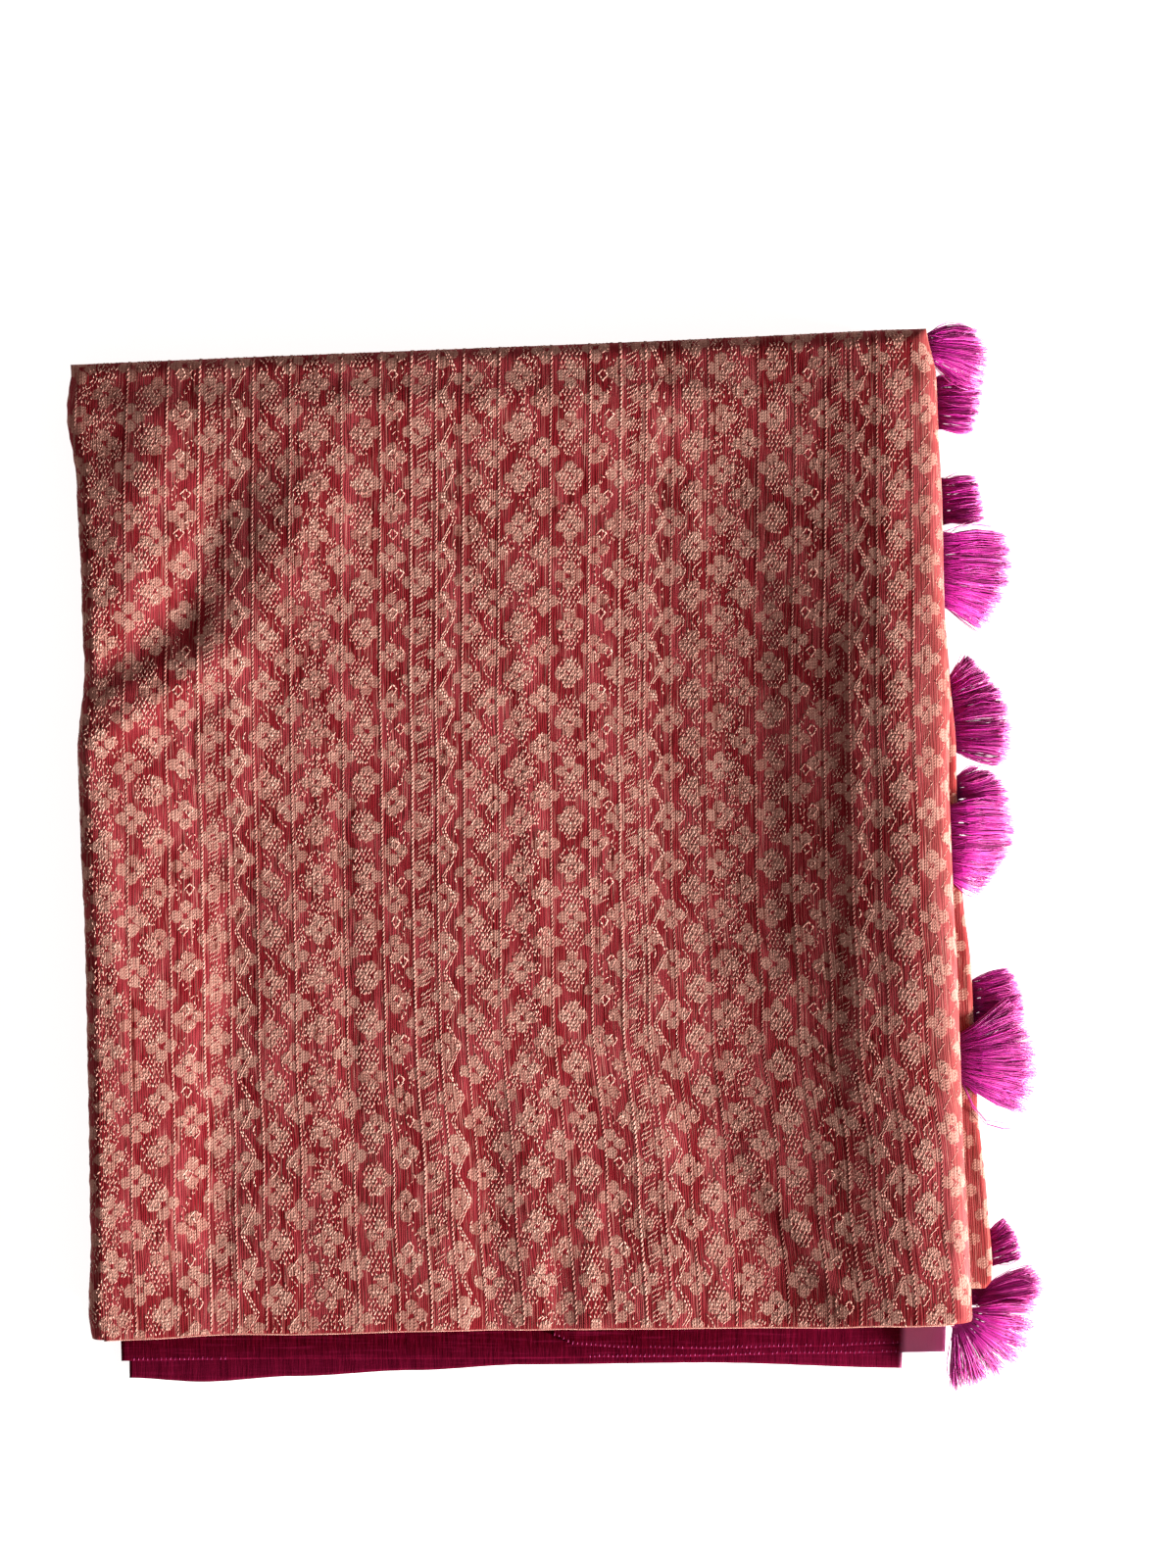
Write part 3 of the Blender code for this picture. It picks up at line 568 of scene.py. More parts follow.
def top_height(x, y):
    """Height of the top stretch over the floor, away from its round edges."""
    inside = right_line(y) - x
    rise = sum(part * (1 - smooth(low, high, inside)) for part, high, low in RIGHT_SWELL_STEPS)
    rise = rise - RIGHT_FALL * (1 - smooth(RIGHT_FALL_TO, read_curve(RIGHT_FALL_FROM, y), inside))
    height = FLAT_HEIGHT + read_curve(RIGHT_SWELL, y) * rise
    rise = 1 - smooth(LEFT_SWELL_TO, LEFT_SWELL_FROM, x)
    height = height + read_curve(LEFT_SWELL, y) * rise
    fall = 1 - smooth(TOP_FALL_TO, TOP_FALL_FROM, top_edge(x) - y)
    height = height - read_curve(TOP_FALL, x) * fall
    for _, *fold in FOLDS + CREASES:
        height = height + fold_height(x, y, *fold)
    return height


def local_height(x, y):
    """The packet's height at a place, read at the nearest place inside the round edges."""
    y = np.clip(y, bottom_edge(x), top_edge(x) - TOP_ROUND)
    x = np.clip(x, left_edge(y) + LEFT_ROUND, right_edge(y) - RIGHT_ROUND)
    return top_height(x, y)


def lean(u, v):
    """How far the weave's bands are shifted across at a place of the cloth."""
    columns = np.array(LEAN_COLUMNS) * MM
    places = [row[0] * MM for row in LEAN][::-1]
    across = [np.interp(u, columns, np.array(row[1]) * MM) for row in LEAN][::-1]
    shift = across[0]
    for k in range(len(places) - 1):
        shift = mix(shift, across[k + 1], smooth(places[k], places[k + 1], v))
    first, second = (np.sin(v * along + u * over) for along, over in LEAN_WOBBLE_TURNS)
    return shift + LEAN_WOBBLE * (first * second)


def climb(x, y):
    """How far along the warp the weave's rows are shifted at a place of the packet."""
    far = y / CLIMB_UNIT
    bow = BOW * ((x - BOW_MIDDLE_X) / CLIMB_UNIT) ** 2 + BOW_BASE
    bow = bow * (1 - smooth(BOW_TO, BOW_FROM, y))
    return (STRETCH_SQUARE * far**2 + STRETCH_CUBE * far**3 + bow) * MM


def weave_place(x, y):
    """The place on the cloth, across and along its threads, that lies at a place of the packet."""
    u = x
    for _ in range(4):
        u = x - lean(u, y)
    return u, y + climb(x, y)


def packet_place(u, v):
    """The place of the packet where a place on the cloth lies, as if it were flat."""
    x, y = u, v
    for _ in range(4):
        x = u + lean(u, y)
        y = v - climb(x, y)
    return x, y


def top_cloth(u, v):
    """Where a place of the top stretch lies, on its flat part or round one of its folds."""
    x, y = packet_place(u, v)
    left_inner = left_edge(y) + LEFT_ROUND
    right_inner = right_edge(y) - RIGHT_ROUND
    top_inner = top_edge(x) - TOP_ROUND
    past_left = np.clip((left_inner - x) / (ARC_OVER_ROUND * LEFT_ROUND), 0, 1)
    past_right = np.clip((x - right_inner) / (ARC_OVER_ROUND * RIGHT_ROUND), 0, 1)
    past_top = np.clip((y - top_inner) / (ARC_OVER_ROUND * TOP_ROUND), 0, 1)
    turn = np.radians(90 - FOLD_TURN * past_left)
    x = np.where(past_left > 0, left_edge(y) + LEFT_ROUND * (1 - np.cos(turn)), x)
    turn = np.radians(90 - FOLD_TURN * past_right)
    x = np.where(past_right > 0, right_edge(y) - RIGHT_ROUND * (1 - np.cos(turn)), x)
    turn = np.radians(90 - FOLD_TURN * past_top)
    y = np.where(past_top > 0, top_edge(x) - TOP_ROUND * (1 - np.cos(turn)), y)
    past = np.maximum(np.maximum(past_left, past_right), past_top)
    turn = np.radians(90 - FOLD_TURN * past)
    share = 1 - FOLD_SHARE * (1 - np.sin(turn))
    return np.stack([x, y, share * local_height(x, y)], -1)


def mesh_piece(name, points, faces, material, places=None, thickness=0):
    """An object from plan points; places gives each point's place on the cloth."""
    points = np.array(points, float).reshape(-1, 3) + (*PLAN_SHIFT, 0)
    mesh = bpy.data.meshes.new(name)
    mesh.from_pydata(points.tolist(), [], [tuple(map(int, face)) for face in faces])
    if places is not None:
        corners = np.empty(len(mesh.loops), np.int32)
        mesh.loops.foreach_get("vertex_index", corners)
        layer = mesh.uv_layers.new(name="cloth_place")
        layer.data.foreach_set("uv", np.array(places, np.float32)[corners].ravel())
    mesh.validate()
    mesh.shade_smooth()
    mesh.materials.append(material)
    piece = bpy.data.objects.new(name, mesh)
    bpy.context.scene.collection.objects.link(piece)
    if thickness:
        wall = piece.modifiers.new("cloth thickness", "SOLIDIFY")
        wall.thickness = thickness
        wall.offset = -1
    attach(piece, "root")
    return piece


def grid_faces(columns, rows, first=0):
    """Quads of a grid whose points run up each column."""
    i, j = np.meshgrid(np.arange(columns - 1), np.arange(rows - 1), indexing="ij")
    a = (first + i * rows + j).ravel()
    return np.stack([a, a + rows, a + rows + 1, a + 1], 1).tolist()


def strip_faces(inner, outer):
    """Quads between two rows of points that run the same way."""
    return [(inner[k], inner[k + 1], outer[k + 1], outer[k]) for k in range(len(inner) - 1)]


def three_sides():
    """Grid places round the left, top and right sides, as arrays of columns and rows."""
    left = [(0, j) for j in range(ALONG + 1)]
    top = [(i, ALONG) for i in range(1, ACROSS)]
    right = [(ACROSS, j) for j in range(ALONG, -1, -1)]
    return np.array(left + top + right).T


def build_top_cloth(material):
    """The top stretch: its flat part, its round folds and the lip of its front edge."""
    i, j = np.meshgrid(np.arange(ACROSS + 1), np.arange(ALONG + 1), indexing="ij")
    insets = (LEFT_ROUND, RIGHT_ROUND, TOP_ROUND, 0)
    x, y = plan_point(i.ravel() / ACROSS, j.ravel() / ALONG, *insets)
    points = [np.stack([x, y, top_height(x, y)], 1)]
    places = [np.stack(weave_place(x, y), 1)]
    faces = grid_faces(ACROSS + 1, ALONG + 1)
    side_i, side_j = three_sides()
    start = side_i * (ALONG + 1) + side_j
    inner = start
    out_u = np.where(side_i == 0, -1, np.where(side_i == ACROSS, 1, 0))
    out_v = np.where(side_j == ALONG, 1, 0)
    rounds = np.where(side_i == 0, LEFT_ROUND, RIGHT_ROUND)
    rounds = np.where(out_u == 0, TOP_ROUND, rounds)
    for step in range(1, FOLD_STEPS + 1):
        past = step / FOLD_STEPS
        turn = math.radians(90 - FOLD_TURN * past)
        inset = 1 - math.cos(turn)
        share = 1 - FOLD_SHARE * (1 - math.sin(turn))
        insets = (LEFT_ROUND * inset, RIGHT_ROUND * inset, TOP_ROUND * inset, 0)
        x, y = plan_point(side_i / ACROSS, side_j / ALONG, *insets)
        count = sum(len(part) for part in points)
        points.append(np.stack([x, y, share * local_height(x, y)], 1))
        ripple = np.sin(y / SHORT_RIPPLE) + LONG_RIPPLE_SHARE * np.sin(y / LONG_RIPPLE + 1)
        points[-1][:, 0] -= np.where(side_i == 0, RIPPLE * past * ripple, 0)
        reach = past * ARC_OVER_ROUND * rounds
        drift = points[-1][:, :2] - points[0][start, :2]
        over = np.where(out_u == 0, drift[:, 0], out_u * reach)
        beyond = np.where(out_v == 0, drift[:, 1], out_v * reach)
        places.append(places[0][start] + np.stack([over, beyond], 1))
        ring = count + np.arange(len(side_i))
        faces += strip_faces(inner, ring)
        inner = ring
    front = np.arange(ACROSS + 1) * (ALONG + 1)
    inner = front[::-1]
    base = points[0][inner]
    for step, degrees in enumerate(LIP_TURNS):
        turn = math.radians(degrees)
        drop = np.array((0, -math.sin(turn), math.cos(turn) - 1)) * LIP
        count = sum(len(part) for part in points)
        points.append(base + drop)
        lip_v = FRONT_EDGE_V - (step + 1) * LIP_PLACE_STEP
        places.append(np.stack([places[0][front[::-1], 0], np.full(len(front), lip_v)], 1))
        ring = count + np.arange(len(front))
        faces += strip_faces(inner, ring)
        inner = ring
    points, places = np.concatenate(points), np.concatenate(places)
    return mesh_piece("top_cloth", points, faces, material, places, SHELL)


def layer_levels():
    """Rows like those of LAYERS, with each layer's round edge and the groove under it."""
    rows = []
    for share in np.arange(ROUND_LAYERS_FROM, LAYERS[0][1], -LAYER_PITCH / FLAT_HEIGHT):
        rise = 1 - (1 - share) / FOLD_SHARE
        inset = 1 - math.cos(math.asin(max(min(rise, 1), LOWEST_RISE)))
        rounds = (LEFT_ROUND, TOP_ROUND, RIGHT_ROUND)
        left, top, right = (size / MM * inset + BEHIND_TOP_CLOTH for size in rounds)
        rows.append((share, left, top, right, 0, ROUND_LAYERS_FRONT))
    rows += [tuple(row) for _, *row in LAYERS]
    levels = []
    for upper, lower in zip(rows, rows[1:]):
        levels.append(upper)
        count = round((upper[0] - lower[0]) * FLAT_HEIGHT / LAYER_PITCH)
        step = max(abs(upper[1] - lower[1]), abs(upper[3] - lower[3]))
        if step >= SLOT_STEP or upper[4] != lower[4]:
            continue
        for layer in range(count):
            for part, groove in LAYER_PROFILE:
                share = (layer + part) / count
                if share >= 1:
                    continue
                row = [mix(a, b, share) for a, b in zip(upper, lower)]
                for column in (1, 2, 3, 5):
                    row[column] += groove * LAYER_GROOVE / MM
                levels.append(tuple(row))
    levels.append(rows[-1])
    return levels


def build_layer_edges(material):
    """The stretches inside, as the round edges of their layers and the underside."""
    side_i, side_j = three_sides()
    front_i = np.arange(ACROSS - 1, 0, -1)
    i = np.concatenate([side_i, front_i])[::2]
    j = np.concatenate([side_j, np.zeros_like(front_i)])[::2]
    points, places, faces = [], [], []
    around = np.arange(len(i))
    loop = None
    run = np.zeros(len(i))
    for share, left, top, right, of_second, front in layer_levels():
        insets = [inset * MM for inset in (left, right, top, front)]
        x, y = plan_point(i / ACROSS, j / ALONG, *insets, of_second)
        points.append(np.stack([x, y, share * local_height(x, y)], 1))
        if loop is None:
            step = np.hypot(np.diff(x, append=x[0]), np.diff(y, append=y[0]))
            run = np.concatenate([[0], np.cumsum(step)[:-1]])
        places.append(np.stack([run, np.full(len(i), -share * FLAT_HEIGHT)], 1))
        new = len(around) * (len(points) - 1) + around
        if loop is not None:
            inner = np.append(loop, loop[0])
            outer = np.append(new, new[0])
            faces += strip_faces(inner, outer)
        loop = new
    faces.append(tuple(loop))
    return mesh_piece(
        "layer_edges", np.concatenate(points), faces, material, np.concatenate(places)
    )


def second_path(y):
    """Cross-section of the second fold at places along Y: points (x, height share)."""
    upper, lower = UPPER_SLOT_FLOOR, LOWER_SLOT_ROOF
    edge = second_edge(y)
    radius = (upper - lower) / 2 * local_height(edge, y)
    leg_end = right_edge(y) - SECOND_LEG_END
    steps = SECOND_LEG_POINTS
    path = [(mix(leg_end, edge - radius, k / steps), upper) for k in range(steps)]
    for angle in np.linspace(90, -90, SECOND_TURNS):
        turn = math.radians(angle)
        level = (upper + lower) / 2 + (upper - lower) / 2 * math.sin(turn)
        path.append((edge - radius + radius * math.cos(turn), level))
    path += [(mix(edge - radius, leg_end, k / steps), lower) for k in range(1, steps + 1)]
    return path


def build_second_cloth(material):
    """The second fold: its upper leg, its turn and its lower leg."""
    share = np.arange(SECOND_ROWS + 1) / SECOND_ROWS
    y = mix(SECOND_FRONT_Y, TOP_Y - SECOND_BACK_INSET, share)
    path = second_path(y)
    columns = [np.stack([x, y, level * local_height(x, y)], 1) for x, level in path]
    points = np.stack(columns, 1)
    step = np.linalg.norm(np.diff(points, axis=1), axis=2)
    run = np.concatenate([np.zeros((len(y), 1)), np.cumsum(step, 1)], 1)
    places = np.stack([run - SECOND_PLACE_SHIFT, np.repeat(y[:, None], len(path), 1)], 2)
    faces = [face[::-1] for face in grid_faces(len(y), len(path))]
    return mesh_piece("second_cloth", points, faces, material, places.reshape(-1, 2), SHELL)


def build_end_strip(name, floor_share, front_inset, material):
    """The saree's end, lying in its slot behind the tassels."""
    rows, columns = END_EDGE_ROWS, END_EDGE_COLUMNS
    y = np.linspace(SECOND_FRONT_Y + END_EDGE_FROM_FRONT, TOP_Y - END_EDGE_FROM_TOP, rows)
    insets = [mix(front_inset, END_EDGE_BACK, k / (columns - 1)) for k in range(columns)]
    x = np.stack([right_line(y) - inset for inset in insets], 1)
    y = np.repeat(y[:, None], columns, 1)
    z = floor_share * local_height(x, y) + GAP + STRIP
    points = np.stack([x, y, z], 2).reshape(-1, 3)
    places = np.stack([x - END_PLACE_SHIFT, y], 2).reshape(-1, 2)
    return mesh_piece(name, points, grid_faces(rows, columns), material, places, STRIP)


def plain_outer(edge, x):
    """Y of a plain layer's outer edge, from its table (mm), by place across."""
    return read_curve([(place * MM, y) for place, y in edge], x)


def plain_surface(order, edge, x, share):
    """Top side of a layer of plain cloth, by place across and share towards its outer edge."""
    floor = LOWER_SLOT_FLOOR * local_height(x, np.full_like(x, BOTTOM_Y)) + GAP
    y = mix(PLAIN_INNER_Y, plain_outer(edge, x), share)
    sink = PLAIN_SINK * smooth(PLAIN_SINK_FROM, PLAIN_SINK_TO, y)
    short, long = PLAIN_RIPPLE_TURNS
    ripple = PLAIN_RIPPLE * np.sin(x * short + order * 2) * np.sin(x * long + 1) * share
    return np.stack([x, y, floor + order * (PLAIN_CLOTH + GAP) + PLAIN_CLOTH - sink + ripple], -1)


def build_plain_layer(order, name, edge, material):
    """One layer of the plain cloth, from under the packet to its outer edge."""
    columns, rows = PLAIN_COLUMNS + 1, PLAIN_ROWS + 1
    i, j = np.meshgrid(np.arange(columns), np.arange(rows), indexing="ij")
    x = mix(edge[0][0], edge[-1][0], i.ravel() / PLAIN_COLUMNS) * MM
    points = plain_surface(order, edge, x, j.ravel() / PLAIN_ROWS)
    faces = [face[::-1] for face in grid_faces(columns, rows)]
    return mesh_piece(name, points, faces, material, points[:, :2], PLAIN_SHELL)


# A stitch or a woven float, seen from its side: places along, across and up, as shares
FLOAT_POINTS = np.array((
    (-0.50, -0.5, 0.0),
    (-0.34, 0.5, 0.0),
    (0.50, 0.5, 0.0),
    (0.34, -0.5, 0.0),
    (-0.42, -0.08, 1.0),
    (0.42, -0.08, 1.0),
))
FLOAT_FACES = np.array((
    (0, 3, 2), (0, 2, 1), (0, 1, 4), (1, 2, 5),
    (1, 5, 4), (2, 3, 5), (3, 0, 4), (3, 4, 5),
))
# Distance over which a cloth's slope is read
SLOPE_STEP = 0.4 * MM


def lay_floats(name, floats, surface, material, height):
    """One mesh of raised threads. Each row of floats: u, v, slant, length, width (mm, degrees)."""
    rise, sink = height
    u, v, slant, length, width = np.array(floats, float).T
    u, v, length, width = u * MM, v * MM, length * MM, width * MM
    step = SLOPE_STEP
    middle = surface(u, v)
    across = surface(u + step, v) - surface(u - step, v)
    along = surface(u, v + step) - surface(u, v - step)
    normal = np.cross(across, along)
    normal /= np.linalg.norm(normal, axis=1, keepdims=True)
    across /= np.linalg.norm(across, axis=1, keepdims=True)
    along = np.cross(normal, across)
    turn = np.radians(slant)[:, None]
    run = along * np.cos(turn) + across * np.sin(turn)
    side = np.cross(normal, run)
    base = middle - normal * sink * MM
    a, b, c = FLOAT_POINTS.T
    points = (
        base[:, None]
        + run[:, None] * (length[:, None] * a)[..., None]
        - side[:, None] * (width[:, None] * b)[..., None]
        + normal[:, None] * (rise * MM * c)[None, :, None]
    )
    faces = FLOAT_FACES[None] + np.arange(len(u))[:, None, None] * len(FLOAT_POINTS)
    return mesh_piece(name, points, faces.reshape(-1, 3), material)


def cluster(width, height, across, along, slant, length, thick, hole=0.0):
    """Floats on a diamond lattice in an oval, mirrored about its middle, swinging by rows."""
    rows = []
    for n, dv in enumerate(np.arange(-height / 2 + along / 2, height / 2, along)):
        first = -math.ceil(width / across) * across + (across / 2 if n % 2 else 0)
        for du in np.arange(first, width, across):
            away = math.hypot(du / (width / 2), dv / (height / 2))
            if away > 1 or away < hole:
                continue
            side = math.copysign(1, du) * (1 if n % 2 else -1)
            if abs(du) < 0.1:
                rows.append((du - 0.3, dv, -0.4 * slant * side, length, thick))
                side *= -0.4
            rows.append((du, dv, slant * side, length, thick))
    return rows


def line_of(points, length, thick, pitch):
    """Floats end to end along a line through points."""
    points = np.array(points, float)
    step = np.hypot(*np.diff(points, axis=0).T)
    run = np.concatenate([[0], np.cumsum(step)])
    places = np.arange(pitch / 2, run[-1], pitch)
    u = np.interp(places, run, points[:, 0])
    v = np.interp(places, run, points[:, 1])
    piece = np.clip(np.searchsorted(run, places) - 1, 0, len(step) - 1)
    way = np.diff(points, axis=0)[piece]
    slant = np.degrees(np.arctan2(way[:, 0], way[:, 1]))
    return [(a, b, c, length, thick) for a, b, c in zip(u, v, slant)]


def moved(rows, du, dv):
    """The same floats, shifted across and along."""
    return [(u + du, v + dv, *rest) for u, v, *rest in rows]


# The motifs of one repeat, charted in mm about the middle of their band. A cluster gives
# width, height, pitches across and along, slant, and the floats' length and width.
def flower_motif(repeat):
    rows = cluster(17, 20, 2.15, 2.05, 25, 2.3, 0.72, hole=0.15)
    rows += moved(cluster(8.6, 13, 2.15, 2.05, 25, 2.3, 0.7), 9.4, repeat / 2)
    rows += moved(cluster(8.6, 12, 2.15, 2.05, -25, 2.3, 0.7), -9.6, repeat / 2 + 3)
    rows += moved(cluster(6, 6, 2.1, 2.0, 25, 2.2, 0.7), -0.6, repeat / 2)
    return rows


def rosette_motif(repeat):
    rows = cluster(13.6, 17.6, 2.35, 2.15, 25, 2.5, 0.74)
    for side in (-1, 1):
        rows += [(side * 1.4, 8.4, 24 * side, 2.0, 0.65), (side * 1.4, -8.4, -24 * side, 2.0, 0.65)]
        rows += [(side * 6.2, 3.4, -14 * side, 2.2, 0.65), (side * 6.2, -3.4, 14 * side, 2.2, 0.65)]
    return rows


def diamond_motif(repeat):
    rows = []
    for centre, place in ((2.1, 0), (-1.7, repeat / 2)):
        ring = [(0, 3.3), (2.5, 0.3), (0, -3.3), (-2.5, 0.3), (0, 3.3)]
        rows += moved(line_of(ring, 2.7, 1.0, 2.0), centre, place)
    turns = np.linspace(0, 1, 17, endpoint=False)
    for n, turn in enumerate(turns):
        u = -4.7 * math.cos(2 * math.pi * turn) - 0.6
        slant = -28 * math.sin(2 * math.pi * turn) + (24 if n % 2 else -24)
        rows.append((u, turn * repeat, slant, 2.6, 0.7))
        if n % 3:
            rows.append((u + 2.2, turn * repeat + 1.4, -slant, 2.1, 0.6))
    return rows


def snow_motif(repeat):
    rows = cluster(8.0, 8.0, 1.8, 1.7, 25, 2.0, 0.7)
    for first, last in ((6.4, 12.4), (16.4, 22.6)):
        for dv in np.arange(first, last, 2.5):
            for du in (-3.3, -1.8, -0.3, 1.2):
                rows.append((du, dv + du * 0.5, 34, 2.5, 0.55))
    for dv in np.arange(0, repeat, 2.6):
        rows.append((4.3, dv, 10, 1.9, 0.6))
    return rows


def zigzag_motif(repeat):
    rows = []
    for left, right in ((-4.9, 1.6), (-3.4, 3.1)):
        turn = [(left, -repeat / 2 + 0.9), (left, -repeat / 2 - 0.9)]
        line = [(right, 0), (right - 0.3, -1.2), *turn, (right - 0.3, -repeat + 1.2)]
        rows += line_of(line, 2.4, 0.85, 2.2)
    for side, place in ((-3.9, -1.4), (2.2, -repeat / 2 - 0.4)):
        way = -1 if side < 0 else 1
        rows += [(side, place, 0, 2.5, 1.0)]
        rows += [(side + 0.6 * way, place + 1.9, 30 * way, 2.0, 0.75)]
        rows += [(side + 0.6 * way, place - 1.9, -30 * way, 2.0, 0.75)]
    return rows


def hourglass_motif(repeat):
    rows = []
    for tip, end in ((-2.2, -6.4), (1.9, 6.6)):
        places = np.linspace(-6.6, 6.6, 9)
        bend = [(mix(tip, end, abs(place / 6.6) ** 1.5), place) for place in places]
        rows += line_of(bend, 2.5, 0.7, 2.1)
    rows += moved(cluster(3.6, 6.4, 2.0, 1.8, -24, 2.1, 0.68), -5.9, 0)
    rows += moved(cluster(3.2, 6.0, 2.0, 1.8, 24, 2.1, 0.68), 6.3, 0)
    rows += moved(cluster(11.6, 18.4, 2.3, 2.1, 25, 2.4, 0.72), 0, repeat / 2)
    return rows


MOTIFS = {
    "flowers": flower_motif,
    "rosettes": rosette_motif,
    "diamonds": diamond_motif,
    "snow_dots": snow_motif,
    "zigzags": zigzag_motif,
    "hourglasses": hourglass_motif,
}


def band_places():
    """Each band's left side and width, for every repeat across the cloth (mm)."""
    whole = sum(width for _, width, _, _ in BANDS)
    for repeat in BAND_REPEATS:
        left = BAND_START + repeat * whole
        for name, width, pitch, place in BANDS:
            yield name, left, width, pitch, place
            left += width


def on_top_cloth(rows):
    """Keeps the floats that lie on the top stretch, clear of its corners."""
    rows = np.array(rows, float)
    x, y = packet_place(rows[:, 0] * MM, rows[:, 1] * MM)
    past_left = left_edge(y) + LEFT_ROUND - x
    past_right = x - right_edge(y) + RIGHT_ROUND
    past_top = y - top_edge(x) + TOP_ROUND
    keep = (y > bottom_edge(x) + FRONT_CLEAR) & (past_left < ROUND_LEFT)
    keep &= (past_right < ROUND_RIGHT) & (past_top < ROUND_TOP)
    keep &= ~((past_top > 0) & ((past_left > 0) | (past_right > 0)))
    return rows[keep]


def fold_threads():
    """Two fine zigzag threads along the right-hand fold."""
    rows = []
    for side, first in ROLL_THREADS:
        near = ROLL_FROM + side
        turns = np.arange(first, WARP_TO, ROLL_THREAD_STEP)
        line = [(near + ROLL_THREAD_TURN * (n % 2), place) for n, place in enumerate(turns)]
        rows += line_of(line, *ROLL_FLOATS)
    return rows


def build_weave(material):
    """The bands' motifs, each kind as one piece of raised floats."""
    chance = np.random.default_rng(4)
    pieces = []
    for name, build_motif in MOTIFS.items():
        left_out, loose = FLOWER_FLOATS if name == "flowers" else OTHER_FLOATS
        rows = []
        for band, left, width, pitch, place in band_places():
            if band != name:
                continue
            motif = build_motif(pitch)
            first = math.floor((WARP_FROM - place) / pitch)
            for n in range(first, math.ceil((WARP_TO - place) / pitch)):
                rows += moved(motif, left + width / 2, place + n * pitch)
        rows = on_top_cloth(rows)
        skipped = np.where(rows[:, 0] > ROLL_FROM, 1.0, left_out)
        rows = rows[chance.uniform(0, 1, len(rows)) > skipped]
        for column, scatter in enumerate((loose, loose * SCATTER_ALONG, loose * SCATTER_TURN)):
            rows[:, column] += chance.normal(0, scatter, len(rows))
        if name == "flowers":
            rows = np.concatenate([rows, on_top_cloth(fold_threads())])
        for column in (3, 4):
            rows[:, column] *= chance.uniform(*FLOAT_SIZES, len(rows))
        pieces.append(lay_floats(f"woven_{name}", rows, top_cloth, material, FLOAT_HEIGHT))
    return pieces


def build_cords(material):
    """The twisted cords between the bands."""
    rows = []
    for n, (_, left, *_) in enumerate(band_places()):
        if left > ROLL_FROM + CORDS_PAST_ROLL:
            continue
        width = CORD_WIDTHS[n % len(BANDS)] * (THIN_CORD if left > THIN_CORDS_FROM else 1)
        for place in np.arange(WARP_FROM + (n % 5) * CORD_STAGGER, WARP_TO, CORD_PITCH):
            rows.append((left, place, CORD_SLANT, CORD_LENGTH, width))
    return lay_floats("twisted_cords", on_top_cloth(rows), top_cloth, material, CORD_HEIGHT)


def build_stitches(name, order, edge, spans, material):
    """A row of overlock stitches along the outer edge of a layer of plain cloth."""
    chance = np.random.default_rng(40 + order)

    def on_layer(x, y):
        share = (y - PLAIN_INNER_Y) / (plain_outer(edge, x) - PLAIN_INNER_Y)
        return plain_surface(order, edge, x, share)

    rows = []
    for first, last in spans:
        for x in np.arange(first, last, STITCH_PITCH / MM):
            if chance.uniform() < STITCHES_LEFT_OUT:
                continue
            y = float(plain_outer(edge, np.array([x * MM]))[0]) / MM + STITCH_INSET
            y += chance.normal(0, STITCH_SCATTER)
            slant = chance.normal(*STITCH_SLANT)
            length = chance.uniform(*STITCH_LENGTH)
            rows.append((x, y, slant, length, chance.uniform(*STITCH_WIDTH)))
    return lay_floats(name, rows, on_layer, material, STITCH_HEIGHT)


def three_place_curve(places, share):
    """Smooth curve through three places, by shares from 0 to 1."""
    first, second, third = np.array(places) * MM
    share = share[:, None]
    near = 2 * (share - 0.5) * (share - 1)
    far = 2 * share * (share - 0.5)
    return first * near + second * 4 * share * (1 - share) + third * far


def strand_mesh(centres, radius):
    """Points and faces of three-sided threads, from their centre lines and radii."""
    way = np.gradient(centres, axis=1)
    way /= np.linalg.norm(way, axis=2, keepdims=True)
    across = np.cross(way, (0, 0, 1))
    across /= np.linalg.norm(across, axis=2, keepdims=True)
    up = np.cross(across, way)
    corners = []
    for corner in range(3):
        angle = math.radians(90 + 120 * corner)
        corners.append(centres + (across * math.cos(angle) + up * math.sin(angle)) * radius)
    points = np.stack(corners, 2)
    index = np.arange(points[..., 0].size).reshape(points.shape[:3])
    faces = []
    for corner in range(3):
        side, next_side = index[:, :, corner], index[:, :, (corner + 1) % 3]
        quads = np.stack([side[:, :-1], next_side[:, :-1], next_side[:, 1:], side[:, 1:]], -1)
        faces += quads.reshape(-1, 4).tolist()
    faces += index[:, 0, ::-1].tolist() + index[:, -1].tolist()
    return points, faces


